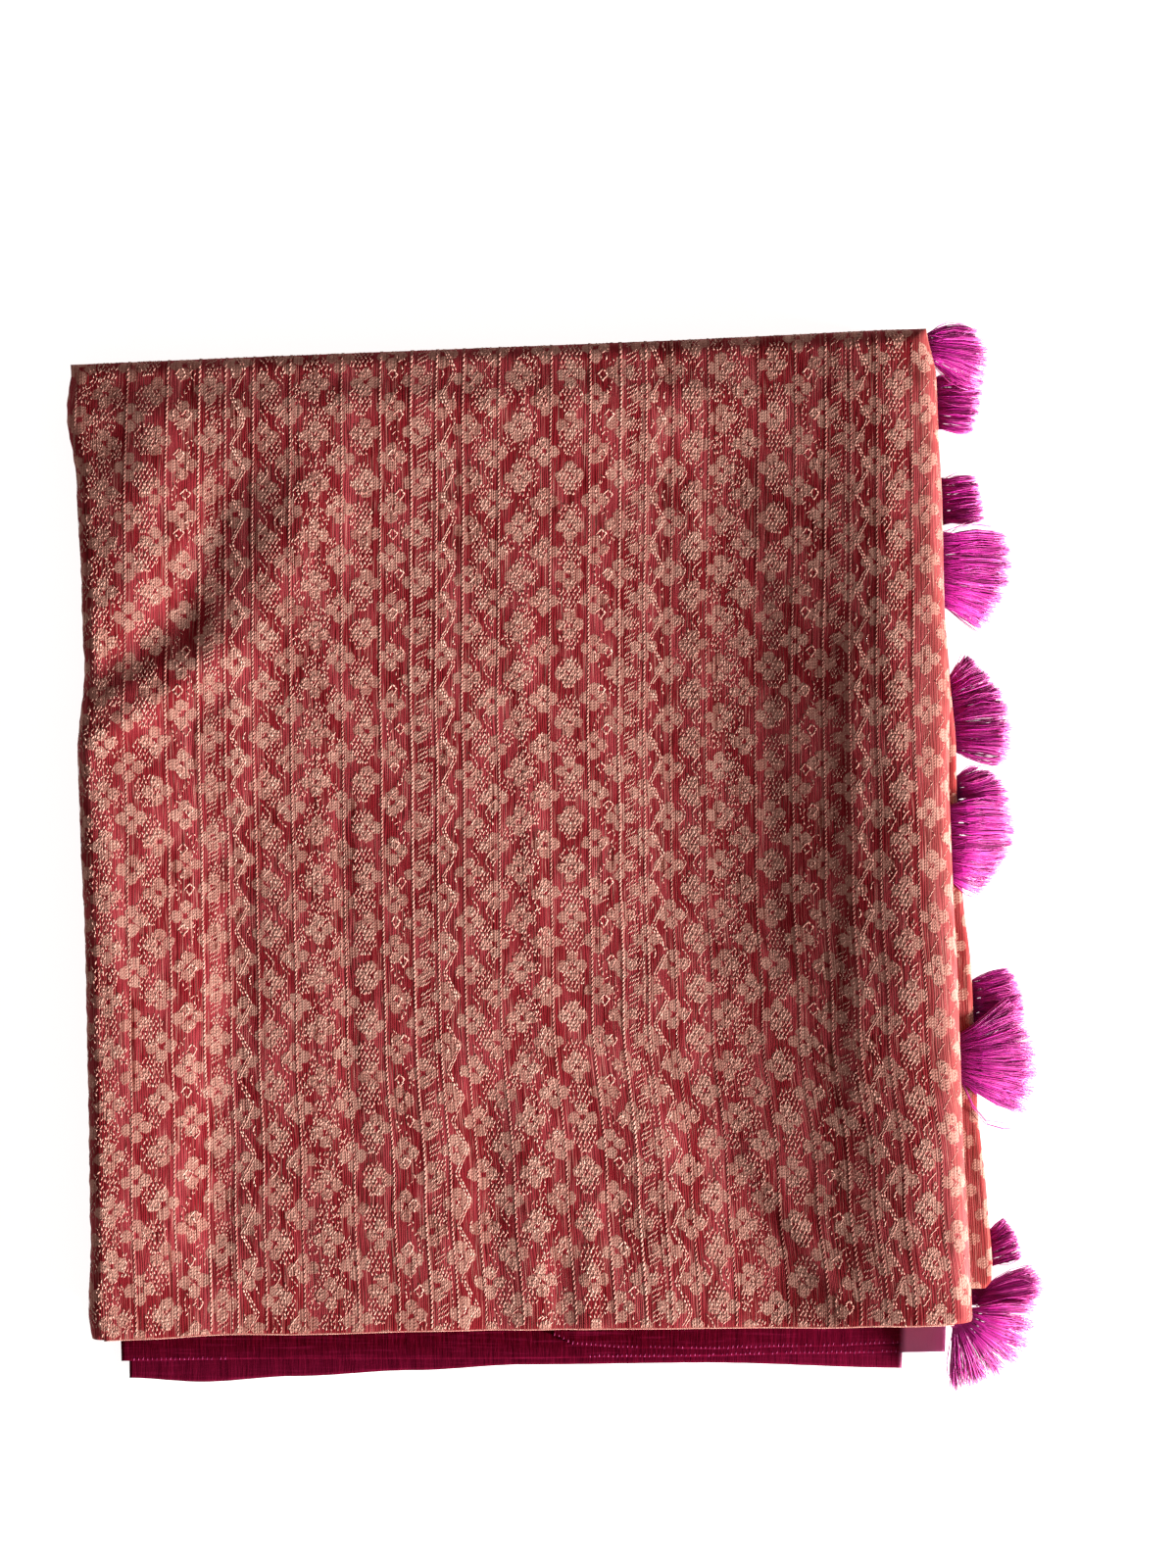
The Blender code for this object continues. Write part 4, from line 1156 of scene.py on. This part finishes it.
def build_tassel(number, slot, tip_z, edge, reach, material):
    """A silk tassel: fine threads from its neck, pressed flat, fanning out past the edge."""
    chance = np.random.default_rng(number)
    upper = slot == "upper"
    middle = three_place_curve(edge, np.array([0.5]))[0]
    floor = UPPER_SLOT_FLOOR if upper else LOWER_SLOT_FLOOR
    floor = float(floor * local_height(middle[0], middle[1])) + GAP + STRAND_CLEAR
    width = np.linalg.norm(np.array(edge[2]) - np.array(edge[0]))
    spread = np.linalg.norm(np.array(reach[2]) - np.array(reach[0]))
    fanned = EDGE_WIDTH_SHARE * width + TIP_WIDTH_SHARE * spread
    count = int(max(width, fanned) * STRANDS_PER_MM)
    locks = max(FEWEST_LOCKS, int(width / LOCK_WIDTH))
    share = chance.uniform(0, 1, count)
    lock = (np.floor(share * locks) + 0.5) / locks
    pull = chance.uniform(0.0, LOCK_PULL, count)
    tip_share = mix(share, lock, pull) + chance.normal(0, TIP_SCATTER, count)
    start = three_place_curve(edge, share)
    tip = three_place_curve(reach, tip_share)
    length = chance.uniform(LEAST_LENGTH, 1.0, count) ** LENGTH_EASE
    stray = chance.uniform(0, 1, count) > STRAYS_OVER
    out_way = tip - start
    side_way = np.stack([-out_way[:, 1], out_way[:, 0]], 1)
    bow = chance.normal(0, STRAND_BOW, count) + LOCK_BOW * np.sin(lock * LOCK_BOW_TURN + number)
    bow = np.where(stray, bow + chance.normal(0, STRAY_BOW, count), bow)
    neck_y = min(max(middle[1], SECOND_FRONT_Y + NECK_FROM_FRONT), TOP_Y - NECK_FROM_TOP)
    neck_x = right_line(neck_y) - (END_EDGE_FRONT if upper else LOWER_END_EDGE_FRONT) + GAP
    neck_places = neck_y + NECK_WIDTH * (0.5 - share) * NECK_FILL
    neck = np.stack([np.full(count, neck_x), neck_places], 1)
    layer = chance.uniform(LOWEST_THREAD, 1.0, count)
    root_z = floor + layer * ROOT_HEIGHT * MM
    end_z = (tip_z + TIP_RISE + layer * TIP_HEIGHT) * MM + np.where(stray, STRAY_RISE * MM, 0)
    peep = max(float(second_edge(middle[1]) - right_edge(middle[1])), 0) if upper else 0
    held = peep / max(np.linalg.norm(out_way, axis=1).mean(), MM)
    centres = []
    for place in STRAND_SHARES:
        if place <= 1:
            flat = mix(neck, start, place)
            height = root_z
        else:
            out = place - 1
            flat = mix(start, tip, out * length[:, None])
            flat = flat + side_way * (bow * math.sin(math.pi * out * BOW_TURN))[:, None]
            height = mix(root_z, end_z, smooth(held * RISE_FROM, RISE_TO, out))
            swell = np.sin(math.pi * out) * (layer - SWELL_LEVEL)
            height = height + swell * MIDDLE_SWELL * MM
        centres.append(np.concatenate([flat, height[:, None]], 1))
    radius = STRAND_RADIUS * np.where(np.array(STRAND_SHARES) < TAPER_FROM, 1, TIP_TAPER)
    radius = radius[None, :, None] * chance.uniform(*STRAND_SIZES, count)[:, None, None]
    points, faces = strand_mesh(np.stack(centres, 1), radius)
    sides = points.shape[:3]
    tone = np.broadcast_to(chance.uniform(0, 1, count)[:, None, None], sides)
    along = np.broadcast_to(np.array(STRAND_SHARES)[None, :, None] / 2, sides)
    places = np.stack([tone, along], -1).reshape(-1, 2)
    return mesh_piece(f"silk_tassel_{number:02d}", points, faces, material, places)


class Shades:
    """A shader tree that is wired up step by step."""

    def __init__(self, tree):
        self.tree = tree

    def add(self, kind, **settings):
        node = self.tree.nodes.new(kind)
        for name, value in settings.items():
            setattr(node, name, value)
        return node

    def wire(self, value, socket):
        if isinstance(value, bpy.types.NodeSocket):
            self.tree.links.new(value, socket)
        elif isinstance(value, tuple) and len(value) == 3 and socket.type == "RGBA":
            socket.default_value = (*value, 1)
        else:
            socket.default_value = value

    def maths(self, operation, *values):
        node = self.add("ShaderNodeMath", operation=operation)
        for value, socket in zip(values, node.inputs):
            self.wire(value, socket)
        return node.outputs[0]

    def plus(self, first, second):
        return self.maths("ADD", first, second)

    def minus(self, first, second):
        return self.maths("SUBTRACT", first, second)

    def times(self, first, second):
        return self.maths("MULTIPLY", first, second)

    def over(self, first, second):
        return self.maths("DIVIDE", first, second)

    def size(self, value):
        return self.maths("ABSOLUTE", value)

    def ramp(self, value, low, high, start=0.0, end=1.0):
        node = self.add("ShaderNodeMapRange", interpolation_type="SMOOTHSTEP")
        items = {"Value": value, "From Min": low, "From Max": high, "To Min": start, "To Max": end}
        for name, item in items.items():
            self.wire(item, node.inputs[name])
        return node.outputs[0]

    def blend(self, share, first, second):
        node = self.add("ShaderNodeMix", data_type="RGBA")
        for place, value in ((0, share), (6, first), (7, second)):
            self.wire(value, node.inputs[place])
        return node.outputs[2]

    def noise(self, vector, scale, detail=2.0, rough=0.5):
        node = self.add("ShaderNodeTexNoise")
        self.wire(vector, node.inputs["Vector"])
        for name, value in {"Scale": scale, "Detail": detail, "Roughness": rough}.items():
            node.inputs[name].default_value = value
        return node.outputs["Fac"]

    def threads(self, vector, factors, detail, rough=0.5):
        """Noise drawn out along the threads, by its scale each way."""
        node = self.add("ShaderNodeVectorMath", operation="MULTIPLY")
        self.wire(vector, node.inputs[0])
        node.inputs[1].default_value = factors
        return self.noise(node.outputs[0], 1.0, detail, rough)

    def wander(self, vector, scale, detail, reach):
        """Noise about zero."""
        return self.times(self.minus(self.noise(vector, scale, detail), 0.5), reach)

    def parts(self, vector):
        node = self.add("ShaderNodeSeparateXYZ")
        self.wire(vector, node.inputs[0])
        return node.outputs[0], node.outputs[1]

    def group(self, group, **values):
        node = self.add("ShaderNodeGroup", node_tree=group)
        for name, value in values.items():
            self.wire(value, node.inputs[name.capitalize()])
        return node.outputs


def new_group(name, inputs, outputs):
    """A shader node group: the group, its wiring helper, what it is given and what it puts out."""
    group = bpy.data.node_groups.new(name, "ShaderNodeTree")
    face = group.interface
    for socket_name, kind, value in inputs:
        socket = face.new_socket(name=socket_name, in_out="INPUT", socket_type=kind)
        if value is not None:
            socket.default_value = value
    for socket_name in outputs:
        face.new_socket(name=socket_name, in_out="OUTPUT", socket_type="NodeSocketFloat")
    shades = Shades(group)
    start = shades.add("NodeGroupInput")
    end = shades.add("NodeGroupOutput")
    return group, shades, start.outputs, end.inputs


PLACE_INPUT = ("Place", "NodeSocketVector", None)


def flower_print_group():
    """Allover print of small flowers, each with four lobed petals about a small heart."""
    group, shades, given, result = new_group(
        "flower print",
        (
            PLACE_INPUT,
            ("Column", "NodeSocketFloat", PRINT_COLUMN),
            ("Row", "NodeSocketFloat", PRINT_ROW),
            ("Reach", "NodeSocketFloat", PETAL_REACH),
            ("Petal", "NodeSocketFloat", PETAL_RADIUS),
        ),
        ("Petals", "Heart", "Tone"),
    )
    place = given["Place"]
    across, along = shades.parts(place)
    sway = shades.minus(shades.times(across, PRINT_SWAY_TURN), PRINT_SWAY_START)
    sway = shades.times(shades.maths("SINE", sway), shades.ramp(across, *PRINT_SWAY_RANGE))
    u = shades.plus(shades.minus(across, PRINT_U), shades.times(sway, PRINT_SWAY))
    v = shades.minus(shades.minus(along, PRINT_V), shades.times(u, PRINT_SKEW))
    u = shades.plus(u, shades.wander(place, *PRINT_WANDER_ACROSS))
    u = shades.over(u, given["Column"])
    column = shades.maths("FLOOR", shades.plus(u, 0.5))
    v = shades.plus(v, shades.wander(place, *PRINT_WANDER_ALONG))
    v = shades.plus(shades.over(v, given["Row"]), shades.times(column, 0.5))
    row = shades.maths("FLOOR", shades.plus(v, 0.5))
    du = shades.times(shades.size(shades.minus(u, column)), given["Column"])
    dv = shades.times(shades.size(shades.minus(v, row)), given["Row"])

    def away(near_u, near_v):
        gap_u = shades.minus(du, near_u)
        gap_v = shades.minus(dv, near_v)
        squares = shades.plus(shades.times(gap_u, gap_u), shades.times(gap_v, gap_v))
        return shades.maths("SQRT", squares)

    next_u = shades.minus(given["Column"], given["Reach"])
    next_v = shades.times(given["Row"], 0.5)
    nearest = shades.maths("MINIMUM", away(given["Reach"], 0.0), away(0.0, given["Reach"]))
    nearest = shades.maths("MINIMUM", nearest, away(next_u, next_v))
    share = shades.over(nearest, given["Petal"])
    share = shades.plus(share, shades.wander(place, *PETAL_LOBES))
    shades.wire(shades.ramp(share, *PETAL_OUTLINE), result["Petals"])
    shades.wire(shades.ramp(away(0.0, 0.0), *HEART_OUTLINE), result["Heart"])
    cell = shades.add("ShaderNodeCombineXYZ")
    shades.wire(column, cell.inputs[0])
    shades.wire(row, cell.inputs[1])
    lot = shades.add("ShaderNodeTexWhiteNoise", noise_dimensions="2D")
    shades.wire(cell.outputs[0], lot.inputs["Vector"])
    tone = shades.times(shades.plus(lot.outputs["Value"], shades.noise(place, 120, 1)), 0.5)
    shades.wire(tone, result["Tone"])
    return group


# The ribbed weave: width of a rib, how far it wanders, and size of its small chevrons
RIB_PITCH = 1.2 * MM
RIB_WANDER = 4.5 * MM
KNIT_COLUMN = 2.4 * MM
KNIT_ROW = 1.7 * MM
# Its noises: scales across and along the threads, and which slice of the noise
RIB_WANDER_SCALE = (260, 18, 1)
STREAK_SCALE = (1250, 34, 1)
WEFT_SCALE = (800, 1100, 1)
PALE_SCALE = (1050, 38, 7)
DARK_LINE_SCALE = (430, 5, 1)


def ribbed_weave_group():
    """Fine ribs along the warp, streaks of darker and paler threads, small chevrons, and painted
    shade in the ribs' grooves.
    """
    group, shades, given, result = new_group(
        "ribbed weave",
        (PLACE_INPUT, ("Rib", "NodeSocketFloat", RIB_PITCH)),
        ("Height", "Streak", "Pale", "Groove shade", "Line", "Knit"),
    )
    place = given["Place"]
    across, along = shades.parts(place)
    u = shades.plus(across, shades.times(shades.threads(place, RIB_WANDER_SCALE, 2), RIB_WANDER))

    def wave_of(value):
        return shades.size(shades.maths("SINE", shades.times(value, math.pi)))

    wave = wave_of(shades.over(u, given["Rib"]))
    streak = shades.threads(place, STREAK_SCALE, 2, 0.6)
    weft = shades.threads(place, WEFT_SCALE, 1)
    slope = shades.size(shades.minus(shades.maths("FRACT", shades.over(u, KNIT_COLUMN)), 0.5))
    shades.wire(wave_of(shades.plus(shades.over(along, KNIT_ROW), slope)), result["Knit"])
    shades.wire(shades.plus(wave, shades.times(weft, 0.9)), result["Height"])
    shades.wire(shades.ramp(streak, 0.36, 0.64), result["Streak"])
    pale = shades.threads(place, PALE_SCALE, 2, 0.65)
    shades.wire(shades.ramp(pale, 0.52, 0.72), result["Pale"])
    # painted shade in the grooves between the ribs, where the streaks run low
    grooves = shades.plus(shades.times(wave, 0.6), shades.times(streak, 1.2))
    shades.wire(shades.ramp(grooves, 1.00, 0.45), result["Groove shade"])
    level = shades.size(shades.minus(shades.threads(place, DARK_LINE_SCALE, 1), 0.5))
    faint = shades.ramp(shades.noise(place, 60, 1), 0.35, 0.6)
    shades.wire(shades.times(shades.ramp(level, 0.034, 0.008), faint), result["Line"])
    return group


# Fibres of a raised thread: scales of the noise along each axis
FIBRE_SCALE = (2600, 900, 900)
# Painted shade on the raised threads towards the right: from, to (m)
THREAD_SHADE_RANGE = (0.06, 0.17)


def thread_fibre_group():
    """Tone from thread to thread, the fibres in each, and the painted shade towards the right."""
    group, shades, given, result = new_group(
        "thread fibres",
        (PLACE_INPUT, ("Wear", "NodeSocketFloat", 0.5)),
        ("Tone", "Fibre", "Painted shade"),
    )
    place = given["Place"]
    shades.wire(shades.ramp(shades.noise(place, 420, 1), 0.38, 0.62), result["Tone"])
    fibre = shades.threads(place, FIBRE_SCALE, 1)
    shades.wire(shades.ramp(fibre, 0.4, 0.6, 0.0, 0.25), result["Fibre"])
    across, _ = shades.parts(place)
    shades.wire(shades.ramp(across, *THREAD_SHADE_RANGE, 0.0, given["Wear"]), result["Painted shade"])
    return group


def new_material(name):
    """A material, its wiring helper and its surface's inputs."""
    material = bpy.data.materials.new(name)
    material.use_nodes = True
    shades = Shades(material.node_tree)
    surface = material.node_tree.nodes["Principled BSDF"]
    return material, shades, surface.inputs


def set_finish(surface, **values):
    """Plain values of the surface that don't change over it."""
    for name, value in values.items():
        surface[name.replace("_", " ")].default_value = value


def cloth_place(shades):
    return shades.add("ShaderNodeUVMap", uv_map="cloth_place").outputs[0]


def raised(shades, height, distance):
    bump = shades.add("ShaderNodeBump")
    bump.inputs["Distance"].default_value = distance
    bump.inputs["Strength"].default_value = 1.0
    shades.wire(height, bump.inputs["Height"])
    return bump.outputs[0]


CRIMSON = (0.238, 0.013, 0.020)
DEEP_CRIMSON = (0.075, 0.002, 0.002)
PALE_CRIMSON = (0.38, 0.048, 0.060)
PETAL = (0.37, 0.145, 0.112)
PALE_PETAL = (0.54, 0.31, 0.245)
DEEP_PETAL = (0.16, 0.03, 0.02)
MUTED_ROSE = (0.25, 0.080, 0.070)
PALE_THREAD = (0.95, 0.52, 0.42)
WINE = (0.080, 0.0012, 0.0080)
DEEP_WINE = (0.037, 0.0004, 0.0032)
MAGENTA = (0.175, 0.006, 0.034)
SHEER_LIT_PINK = (0.90, 0.29, 0.56)
SILK = (0.60, 0.010, 0.34)
DEEP_SILK = (0.17, 0.0004, 0.07)
BRIGHT_SILK = (0.80, 0.10, 0.47)
PALE_SILK = (0.92, 0.36, 0.72)
FLOAT_CREAM = (0.64, 0.36, 0.29)
FLOAT_SHADE = (0.42, 0.18, 0.145)
CORD_CREAM = (0.52, 0.26, 0.21)
CORD_SHADE = (0.34, 0.12, 0.10)
STITCH_PINK = (0.40, 0.05, 0.17)
STITCH_SHADE = (0.20, 0.01, 0.07)
ROSE_SHEEN = (1.0, 0.55, 0.5, 1)
ROSE_SHINE = (1.0, 0.62, 0.55, 1)
SILK_SHINE = (1.0, 0.5, 0.8, 1)

# How much of each effect shows in the printed cloth
PATCH_SCALE = (70, 22, 1)
STREAK_IN_PETALS = 0.60
HEART_SHARE = 0.45
KNIT_SHARE = 0.22
KNIT_HEIGHT = 1.6
# painted shade in the rib grooves, on the ground and on the petals
GROOVE_SHADE_IN_GROUND = 0.54
GROOVE_SHADE_IN_PETALS = 0.36
DARK_LINE_SHARE = 0.85
PALE_STREAK_SHARE = 0.32
# share of the pale selvedge, which also paints a highlight along the front lip
SELVEDGE_AND_HIGHLIGHT_SHARE = 0.45
# painted shade over the whole cloth of the inner stretches
INNER_PAINTED_SHADE = 0.4
RIB_HEIGHT = 0.10 * MM
# The roll by the right-hand fold is tinted towards a muted rose: from, to (m), least and most
ROLL_TINT = (0.201, 0.212, 0.0, 0.36)
# Painted shade on the raised threads towards the right: its share, and how much deeper it leaves
# them
THREAD_PAINTED_SHADE = 0.55
THREAD_SHADE_TONE = 0.8


def printed_cloth(name, flower_print, ribbed_weave, depth):
    """Silky cloth with the flower print, painted shade in its rib grooves, and a pale selvedge that
    also paints a highlight.
    """
    material, shades, surface = new_material(name)
    place = cloth_place(shades)
    across, along = shades.parts(place)
    flowers = shades.group(flower_print, place=place)
    ribs = shades.group(ribbed_weave, place=place)
    petal = shades.blend(flowers["Tone"], PETAL, PALE_PETAL)
    broken = shades.ramp(ribs["Streak"], 0, 1, STREAK_IN_PETALS, 1)
    petals = shades.times(flowers["Petals"], broken)
    patches = shades.ramp(shades.threads(place, PATCH_SCALE, 2), 0.40, 0.66)
    ground = shades.blend(patches, CRIMSON, PALE_CRIMSON)
    colour = shades.blend(petals, ground, petal)
    colour = shades.blend(shades.times(flowers["Heart"], HEART_SHARE), colour, CRIMSON)
    knit = shades.times(ribs["Knit"], petals)
    colour = shades.blend(shades.times(knit, KNIT_SHARE), colour, PALE_THREAD)
    # painted shade in the rib grooves, joined with the thin dark thread lines
    groove = shades.ramp(petals, 0, 1, GROOVE_SHADE_IN_GROUND, GROOVE_SHADE_IN_PETALS)
    line = shades.times(ribs["Line"], DARK_LINE_SHARE)
    groove_shade_and_lines = shades.maths("MAXIMUM", shades.times(ribs["Groove shade"], groove), line)
    colour = shades.blend(groove_shade_and_lines, colour, shades.blend(petals, DEEP_CRIMSON, DEEP_PETAL))
    colour = shades.blend(shades.times(ribs["Pale"], PALE_STREAK_SHARE), colour, PALE_THREAD)
    # pale selvedge along the front lip, partly the edge's own threads and partly a painted
    # highlight
    selvedge_and_highlight = shades.maths("LESS_THAN", along, FRONT_EDGE_V)
    colour = shades.blend(shades.times(selvedge_and_highlight, SELVEDGE_AND_HIGHLIGHT_SHARE), colour, PALE_THREAD)
    # painted shade: the whole cloth made deeper by this share, as on the inner stretches
    colour = shades.blend(depth, colour, DEEP_PETAL)
    colour = shades.blend(shades.ramp(across, *ROLL_TINT), colour, MUTED_ROSE)
    shades.wire(colour, surface["Base Color"])
    set_finish(surface, Roughness=0.65, Specular_IOR_Level=0.04, Specular_Tint=ROSE_SHINE)
    set_finish(surface, Sheen_Weight=0.02, Sheen_Roughness=0.4, Sheen_Tint=ROSE_SHEEN)
    height = shades.plus(ribs["Height"], shades.times(knit, KNIT_HEIGHT))
    shades.wire(raised(shades, height, RIB_HEIGHT), surface["Normal"])
    return material


def thread_finish(name, thread_fibres, colour, deep, roughness):
    """Raised threads, with a colour that changes from one to the next, and painted shade to the
    right.
    """
    material, shades, surface = new_material(name)
    place = shades.add("ShaderNodeTexCoord").outputs["Object"]
    fibres = shades.group(thread_fibres, place=place, wear=THREAD_PAINTED_SHADE)
    mixed = shades.blend(fibres["Tone"], deep, colour)
    mixed = shades.blend(fibres["Fibre"], mixed, deep)
    # painted shade: the threads turn deeper towards the right
    mixed = shades.blend(fibres["Painted shade"], mixed, tuple(THREAD_SHADE_TONE * part for part in deep))
    shades.wire(mixed, surface["Base Color"])
    set_finish(surface, Roughness=roughness, Specular_IOR_Level=0.06, Sheen_Weight=0.02)
    return material


# Noises of the plain cloth: scales across and along its threads
SLUB_SCALE = (620, 45, 1)
FINE_SCALE = (2400, 160, 1)
CROSS_SLUB_SCALE = (28, 560, 1)
PLAIN_WEFT_SCALE = (300, 3000, 1)
SLUB_HEIGHT = 0.3 * MM
# Where it is brighter, below and to the right, and its sheer end, paler partly by painted light:
# from, to (m), least and most
BRIGHT_BELOW = (-0.283, -0.306, 0.0, 0.45)
BRIGHT_RIGHT = (0.04, 0.20, 0.0, 0.30)
SHEER_LIT_END = (0.200, 0.206, 0.0, 0.84)


def slubbed_cloth():
    """Plain wine cloth with slubs along its threads, brighter towards its cut edges, and a sheer
    end paler partly by painted light.
    """
    material, shades, surface = new_material("slubbed plain cloth")
    place = cloth_place(shades)
    across, along = shades.parts(place)
    slub = shades.threads(place, SLUB_SCALE, 3, 0.65)
    fine = shades.threads(place, FINE_SCALE, 2)
    cross = shades.threads(place, CROSS_SLUB_SCALE, 2, 0.6)
    weft = shades.threads(place, PLAIN_WEFT_SCALE, 1)
    colour = shades.blend(shades.ramp(slub, 0.36, 0.66), DEEP_WINE, WINE)
    colour = shades.blend(shades.ramp(fine, 0.5, 0.75, 0, 0.4), colour, MAGENTA)
    colour = shades.blend(shades.ramp(cross, 0.50, 0.72, 0, 0.5), colour, MAGENTA)
    bright = shades.plus(shades.ramp(along, *BRIGHT_BELOW), shades.ramp(across, *BRIGHT_RIGHT))
    colour = shades.blend(bright, colour, MAGENTA)
    # sheer end: its pale pink is partly the cloth's own and partly painted light
    colour = shades.blend(shades.ramp(across, *SHEER_LIT_END), colour, SHEER_LIT_PINK)
    shades.wire(colour, surface["Base Color"])
    set_finish(surface, Roughness=0.8, Specular_IOR_Level=0.0)
    height = shades.plus(slub, shades.times(weft, 0.3))
    shades.wire(raised(shades, height, SLUB_HEIGHT), surface["Normal"])
    return material


def tassel_silk():
    """Magenta silk, each thread with its own tone, paler at its tip, with painted highlights along
    it and painted shadow by the packet.
    """
    material, shades, surface = new_material("tassel silk")
    # along is 0.5 where the thread comes out of the packet and 1 at its tip
    tone, along = shades.parts(cloth_place(shades))
    colour = shades.blend(shades.ramp(tone, 0.0, 0.6), DEEP_SILK, SILK)
    # painted highlight, growing further out along the threads
    lit = shades.plus(tone, shades.ramp(along, 0.5, 1.0, -0.1, 0.45))
    colour = shades.blend(shades.ramp(lit, 0.70, 1.15), colour, BRIGHT_SILK)
    tips = shades.times(shades.ramp(along, 0.88, 1.0), shades.ramp(tone, 0.2, 0.9))
    colour = shades.blend(shades.times(tips, 0.8), colour, PALE_SILK)
    # painted shadow where the threads come out from under the packet's edge
    colour = shades.blend(shades.ramp(along, 0.60, 0.51, 0.0, 0.8), colour, DEEP_SILK)
    shades.wire(colour, surface["Base Color"])
    set_finish(surface, Roughness=0.38, Specular_IOR_Level=0.45, Specular_Tint=SILK_SHINE)
    set_finish(surface, Sheen_Weight=0.04, Sheen_Tint=SILK_SHINE)
    return material


# The stage: the floor, the low soft light of a window, and the pale light of the room
FLOOR_HALF = 4.0
FLOOR_Z = -0.5 * MM
FLOOR_TONES = ((0.86, 0.86, 0.86), (0.88, 0.88, 0.88))
FLOOR_GLOW = 0.85
WINDOW_PLACE = (2.90, -1.28, 0.45)
WINDOW_SIZE = 0.55
WINDOW_POWER = 590
WINDOW_COLOUR = (1.0, 0.97, 0.94)
ROOM_COLOUR = (1.0, 0.84, 0.80, 1)
ROOM_STRENGTH = 0.23


def pale_floor():
    material, shades, surface = new_material("pale floor")
    place = shades.add("ShaderNodeTexCoord").outputs["Object"]
    tone = shades.ramp(shades.noise(place, 3, 1), 0.3, 0.7)
    shades.wire(shades.blend(tone, *FLOOR_TONES), surface["Base Color"])
    set_finish(surface, Roughness=0.9, Emission_Color=(1, 1, 1, 1), Emission_Strength=FLOOR_GLOW)
    return material


def set_stage():
    """A pale floor, one soft low light from the right, the room's light, and the camera."""
    scene = bpy.context.scene
    half = FLOOR_HALF
    corners = [(-half, -half), (half, -half), (half, half), (-half, half)]
    mesh = bpy.data.meshes.new("floor")
    mesh.from_pydata([(x, y, FLOOR_Z) for x, y in corners], [], [(0, 1, 2, 3)])
    mesh.materials.append(pale_floor())
    floor = bpy.data.objects.new("floor", mesh)
    scene.collection.objects.link(floor)
    lamp = bpy.data.lights.new("window", "AREA")
    lamp.shape = "SQUARE"
    lamp.size = WINDOW_SIZE
    lamp.energy = WINDOW_POWER
    lamp.color = WINDOW_COLOUR
    window = bpy.data.objects.new("window", lamp)
    window.location = WINDOW_PLACE
    window.rotation_euler = (-Vector(WINDOW_PLACE)).to_track_quat("-Z", "Y").to_euler()
    scene.collection.objects.link(window)
    world = bpy.data.worlds.new("soft room")
    world.use_nodes = True
    world.node_tree.nodes["Background"].inputs[0].default_value = ROOM_COLOUR
    world.node_tree.nodes["Background"].inputs[1].default_value = ROOM_STRENGTH
    scene.world = world
    lens = bpy.data.cameras.new("camera")
    lens.sensor_fit = "VERTICAL"
    lens.sensor_height = SENSOR_HEIGHT
    lens.lens = LENS
    camera = bpy.data.objects.new("camera", lens)
    camera.location = (CAMERA_X, CAMERA_Y, CAMERA_HEIGHT)
    scene.collection.objects.link(camera)
    scene.camera = camera
    scene.view_settings.view_transform = "Standard"


set_stage()

prints = flower_print_group(), ribbed_weave_group()
cloth = printed_cloth("printed saree cloth", *prints, 0.0)
# the inner stretches' cloth, with painted shade over it
inner_cloth_in_painted_shade = printed_cloth("printed cloth of the inner stretches, in painted shade", *prints, INNER_PAINTED_SHADE)
plain = slubbed_cloth()
silk = tassel_silk()
fibres = thread_fibre_group()
float_thread = thread_finish("cream woven float", fibres, FLOAT_CREAM, FLOAT_SHADE, 0.6)
cord_thread = thread_finish("cream twisted cord", fibres, CORD_CREAM, CORD_SHADE, 0.6)
stitch_thread = thread_finish("magenta stitching", fibres, STITCH_PINK, STITCH_SHADE, 0.5)

layers_piece = build_layer_edges(cloth)
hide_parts("hidden_layers")

top_piece = build_top_cloth(cloth)
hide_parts("top_panel")

second_piece = build_second_cloth(inner_cloth_in_painted_shade)
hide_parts("second_fold")

for strip_name, floor_share, front_inset in (
    ("end_edge_upper", UPPER_SLOT_FLOOR, END_EDGE_FRONT),
    ("end_edge_lower", LOWER_SLOT_FLOOR, LOWER_END_EDGE_FRONT),
):
    strip = build_end_strip(f"{strip_name}_cloth", floor_share, front_inset, cloth)
    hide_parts(strip_name)

for order, (layer_name, left_half, right_half) in enumerate(PLAIN_EDGES):
    outer_edge = left_half + right_half
    layer = build_plain_layer(order, f"{layer_name}_cloth", outer_edge, plain)
    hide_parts(layer_name)
    if layer_name in STITCHED:
        spans = STITCHED[layer_name]
        stitches = build_stitches(
            f"{layer_name}_stitches", order, outer_edge, spans, stitch_thread
        )

woven = build_weave(float_thread) + [build_cords(cord_thread)]

for number, tassel in enumerate(TASSELS, start=1):
    piece = build_tassel(number, **tassel, material=silk)
    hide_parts(f"tassel_{number:02d}")
